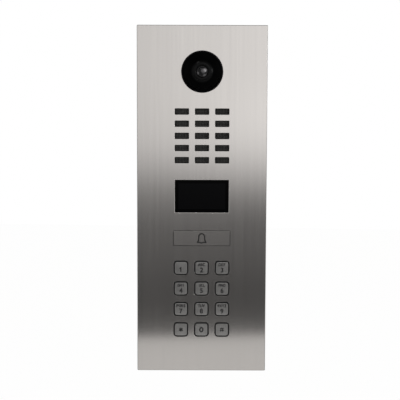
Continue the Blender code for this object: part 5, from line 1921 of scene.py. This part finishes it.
class INTERCOM_OT_keypad_mat(bpy.types.Operator):
    """Make the rubber mat and its domes"""

    bl_idname = "intercom.keypad_mat"
    bl_label = "Keypad mat"

    def execute(self, context):
        make_keypad_mat(context.scene.intercom_keypad, context.scene.intercom_front)
        return {"FINISHED"}


class INTERCOM_OT_back_box(bpy.types.Operator):
    """Make the in-wall box"""

    bl_idname = "intercom.back_box"
    bl_label = "Back box"

    def execute(self, context):
        make_back_box(context.scene.intercom_fixings)
        return {"FINISHED"}


class INTERCOM_OT_screws(bpy.types.Operator):
    """Make the screws"""

    bl_idname = "intercom.screws"
    bl_label = "Screws"

    def execute(self, context):
        make_screws(context.scene.intercom_fixings)
        return {"FINISHED"}


class INTERCOM_OT_inner_parts(bpy.types.Operator):
    """Give the parts inside their finishes"""

    bl_idname = "intercom.inner_parts"
    bl_label = "Inner parts"

    def execute(self, context):
        dress_inner_parts()
        return {"FINISHED"}


class INTERCOM_OT_stage(bpy.types.Operator):
    """Set up the floor, the light and the camera"""

    bl_idname = "intercom.stage"
    bl_label = "Stage"

    def execute(self, context):
        studio = context.scene.intercom_studio
        make_floor(studio, context.scene.intercom_tones)
        make_world(studio)
        make_lamps(studio)
        make_camera(studio)
        context.scene.view_settings.view_transform = "Standard"
        return {"FINISHED"}


OPERATORS = (
    INTERCOM_OT_front_panel,
    INTERCOM_OT_camera_eye,
    INTERCOM_OT_speaker_weave,
    INTERCOM_OT_sensor_window,
    INTERCOM_OT_call_button,
    INTERCOM_OT_keys,
    INTERCOM_OT_keypad_mat,
    INTERCOM_OT_back_box,
    INTERCOM_OT_screws,
    INTERCOM_OT_inner_parts,
    INTERCOM_OT_stage,
)

SETTINGS = {
    "intercom_front": FrontSizes,
    "intercom_eye": EyeSizes,
    "intercom_signs": SignSizes,
    "intercom_keypad": KeypadSizes,
    "intercom_fixings": FixingSizes,
    "intercom_tones": FinishTones,
    "intercom_studio": StudioSettings,
}


class INTERCOM_PT_panel(bpy.types.Panel):
    """Buttons and settings of the intercom in the sidebar"""

    bl_idname = "INTERCOM_PT_panel"
    bl_label = "Intercom"
    bl_space_type = "VIEW_3D"
    bl_region_type = "UI"
    bl_category = "Intercom"

    def draw(self, context):
        for operator in OPERATORS:
            self.layout.operator(operator.bl_idname)
        for settings, kind in SETTINGS.items():
            self.layout.label(text=kind.__doc__)
            group = getattr(context.scene, settings)
            for name in kind.__annotations__:
                self.layout.prop(group, name)


def register():
    """Register the settings, the operators and the panel."""
    for name, group in SETTINGS.items():
        bpy.utils.register_class(group)
        setattr(bpy.types.Scene, name, PointerProperty(type=group))
    for kind in (*OPERATORS, INTERCOM_PT_panel):
        bpy.utils.register_class(kind)


def unregister():
    """Take the settings, the operators and the panel away again."""
    for kind in (INTERCOM_PT_panel, *reversed(OPERATORS)):
        bpy.utils.unregister_class(kind)
    for name, group in SETTINGS.items():
        delattr(bpy.types.Scene, name)
        bpy.utils.unregister_class(group)


def main():
    """Make every piece and the stage."""
    register()
    for operator in OPERATORS:
        group, name = operator.bl_idname.split(".")
        getattr(getattr(bpy.ops, group), name)()


if __name__ == "__main__":
    main()
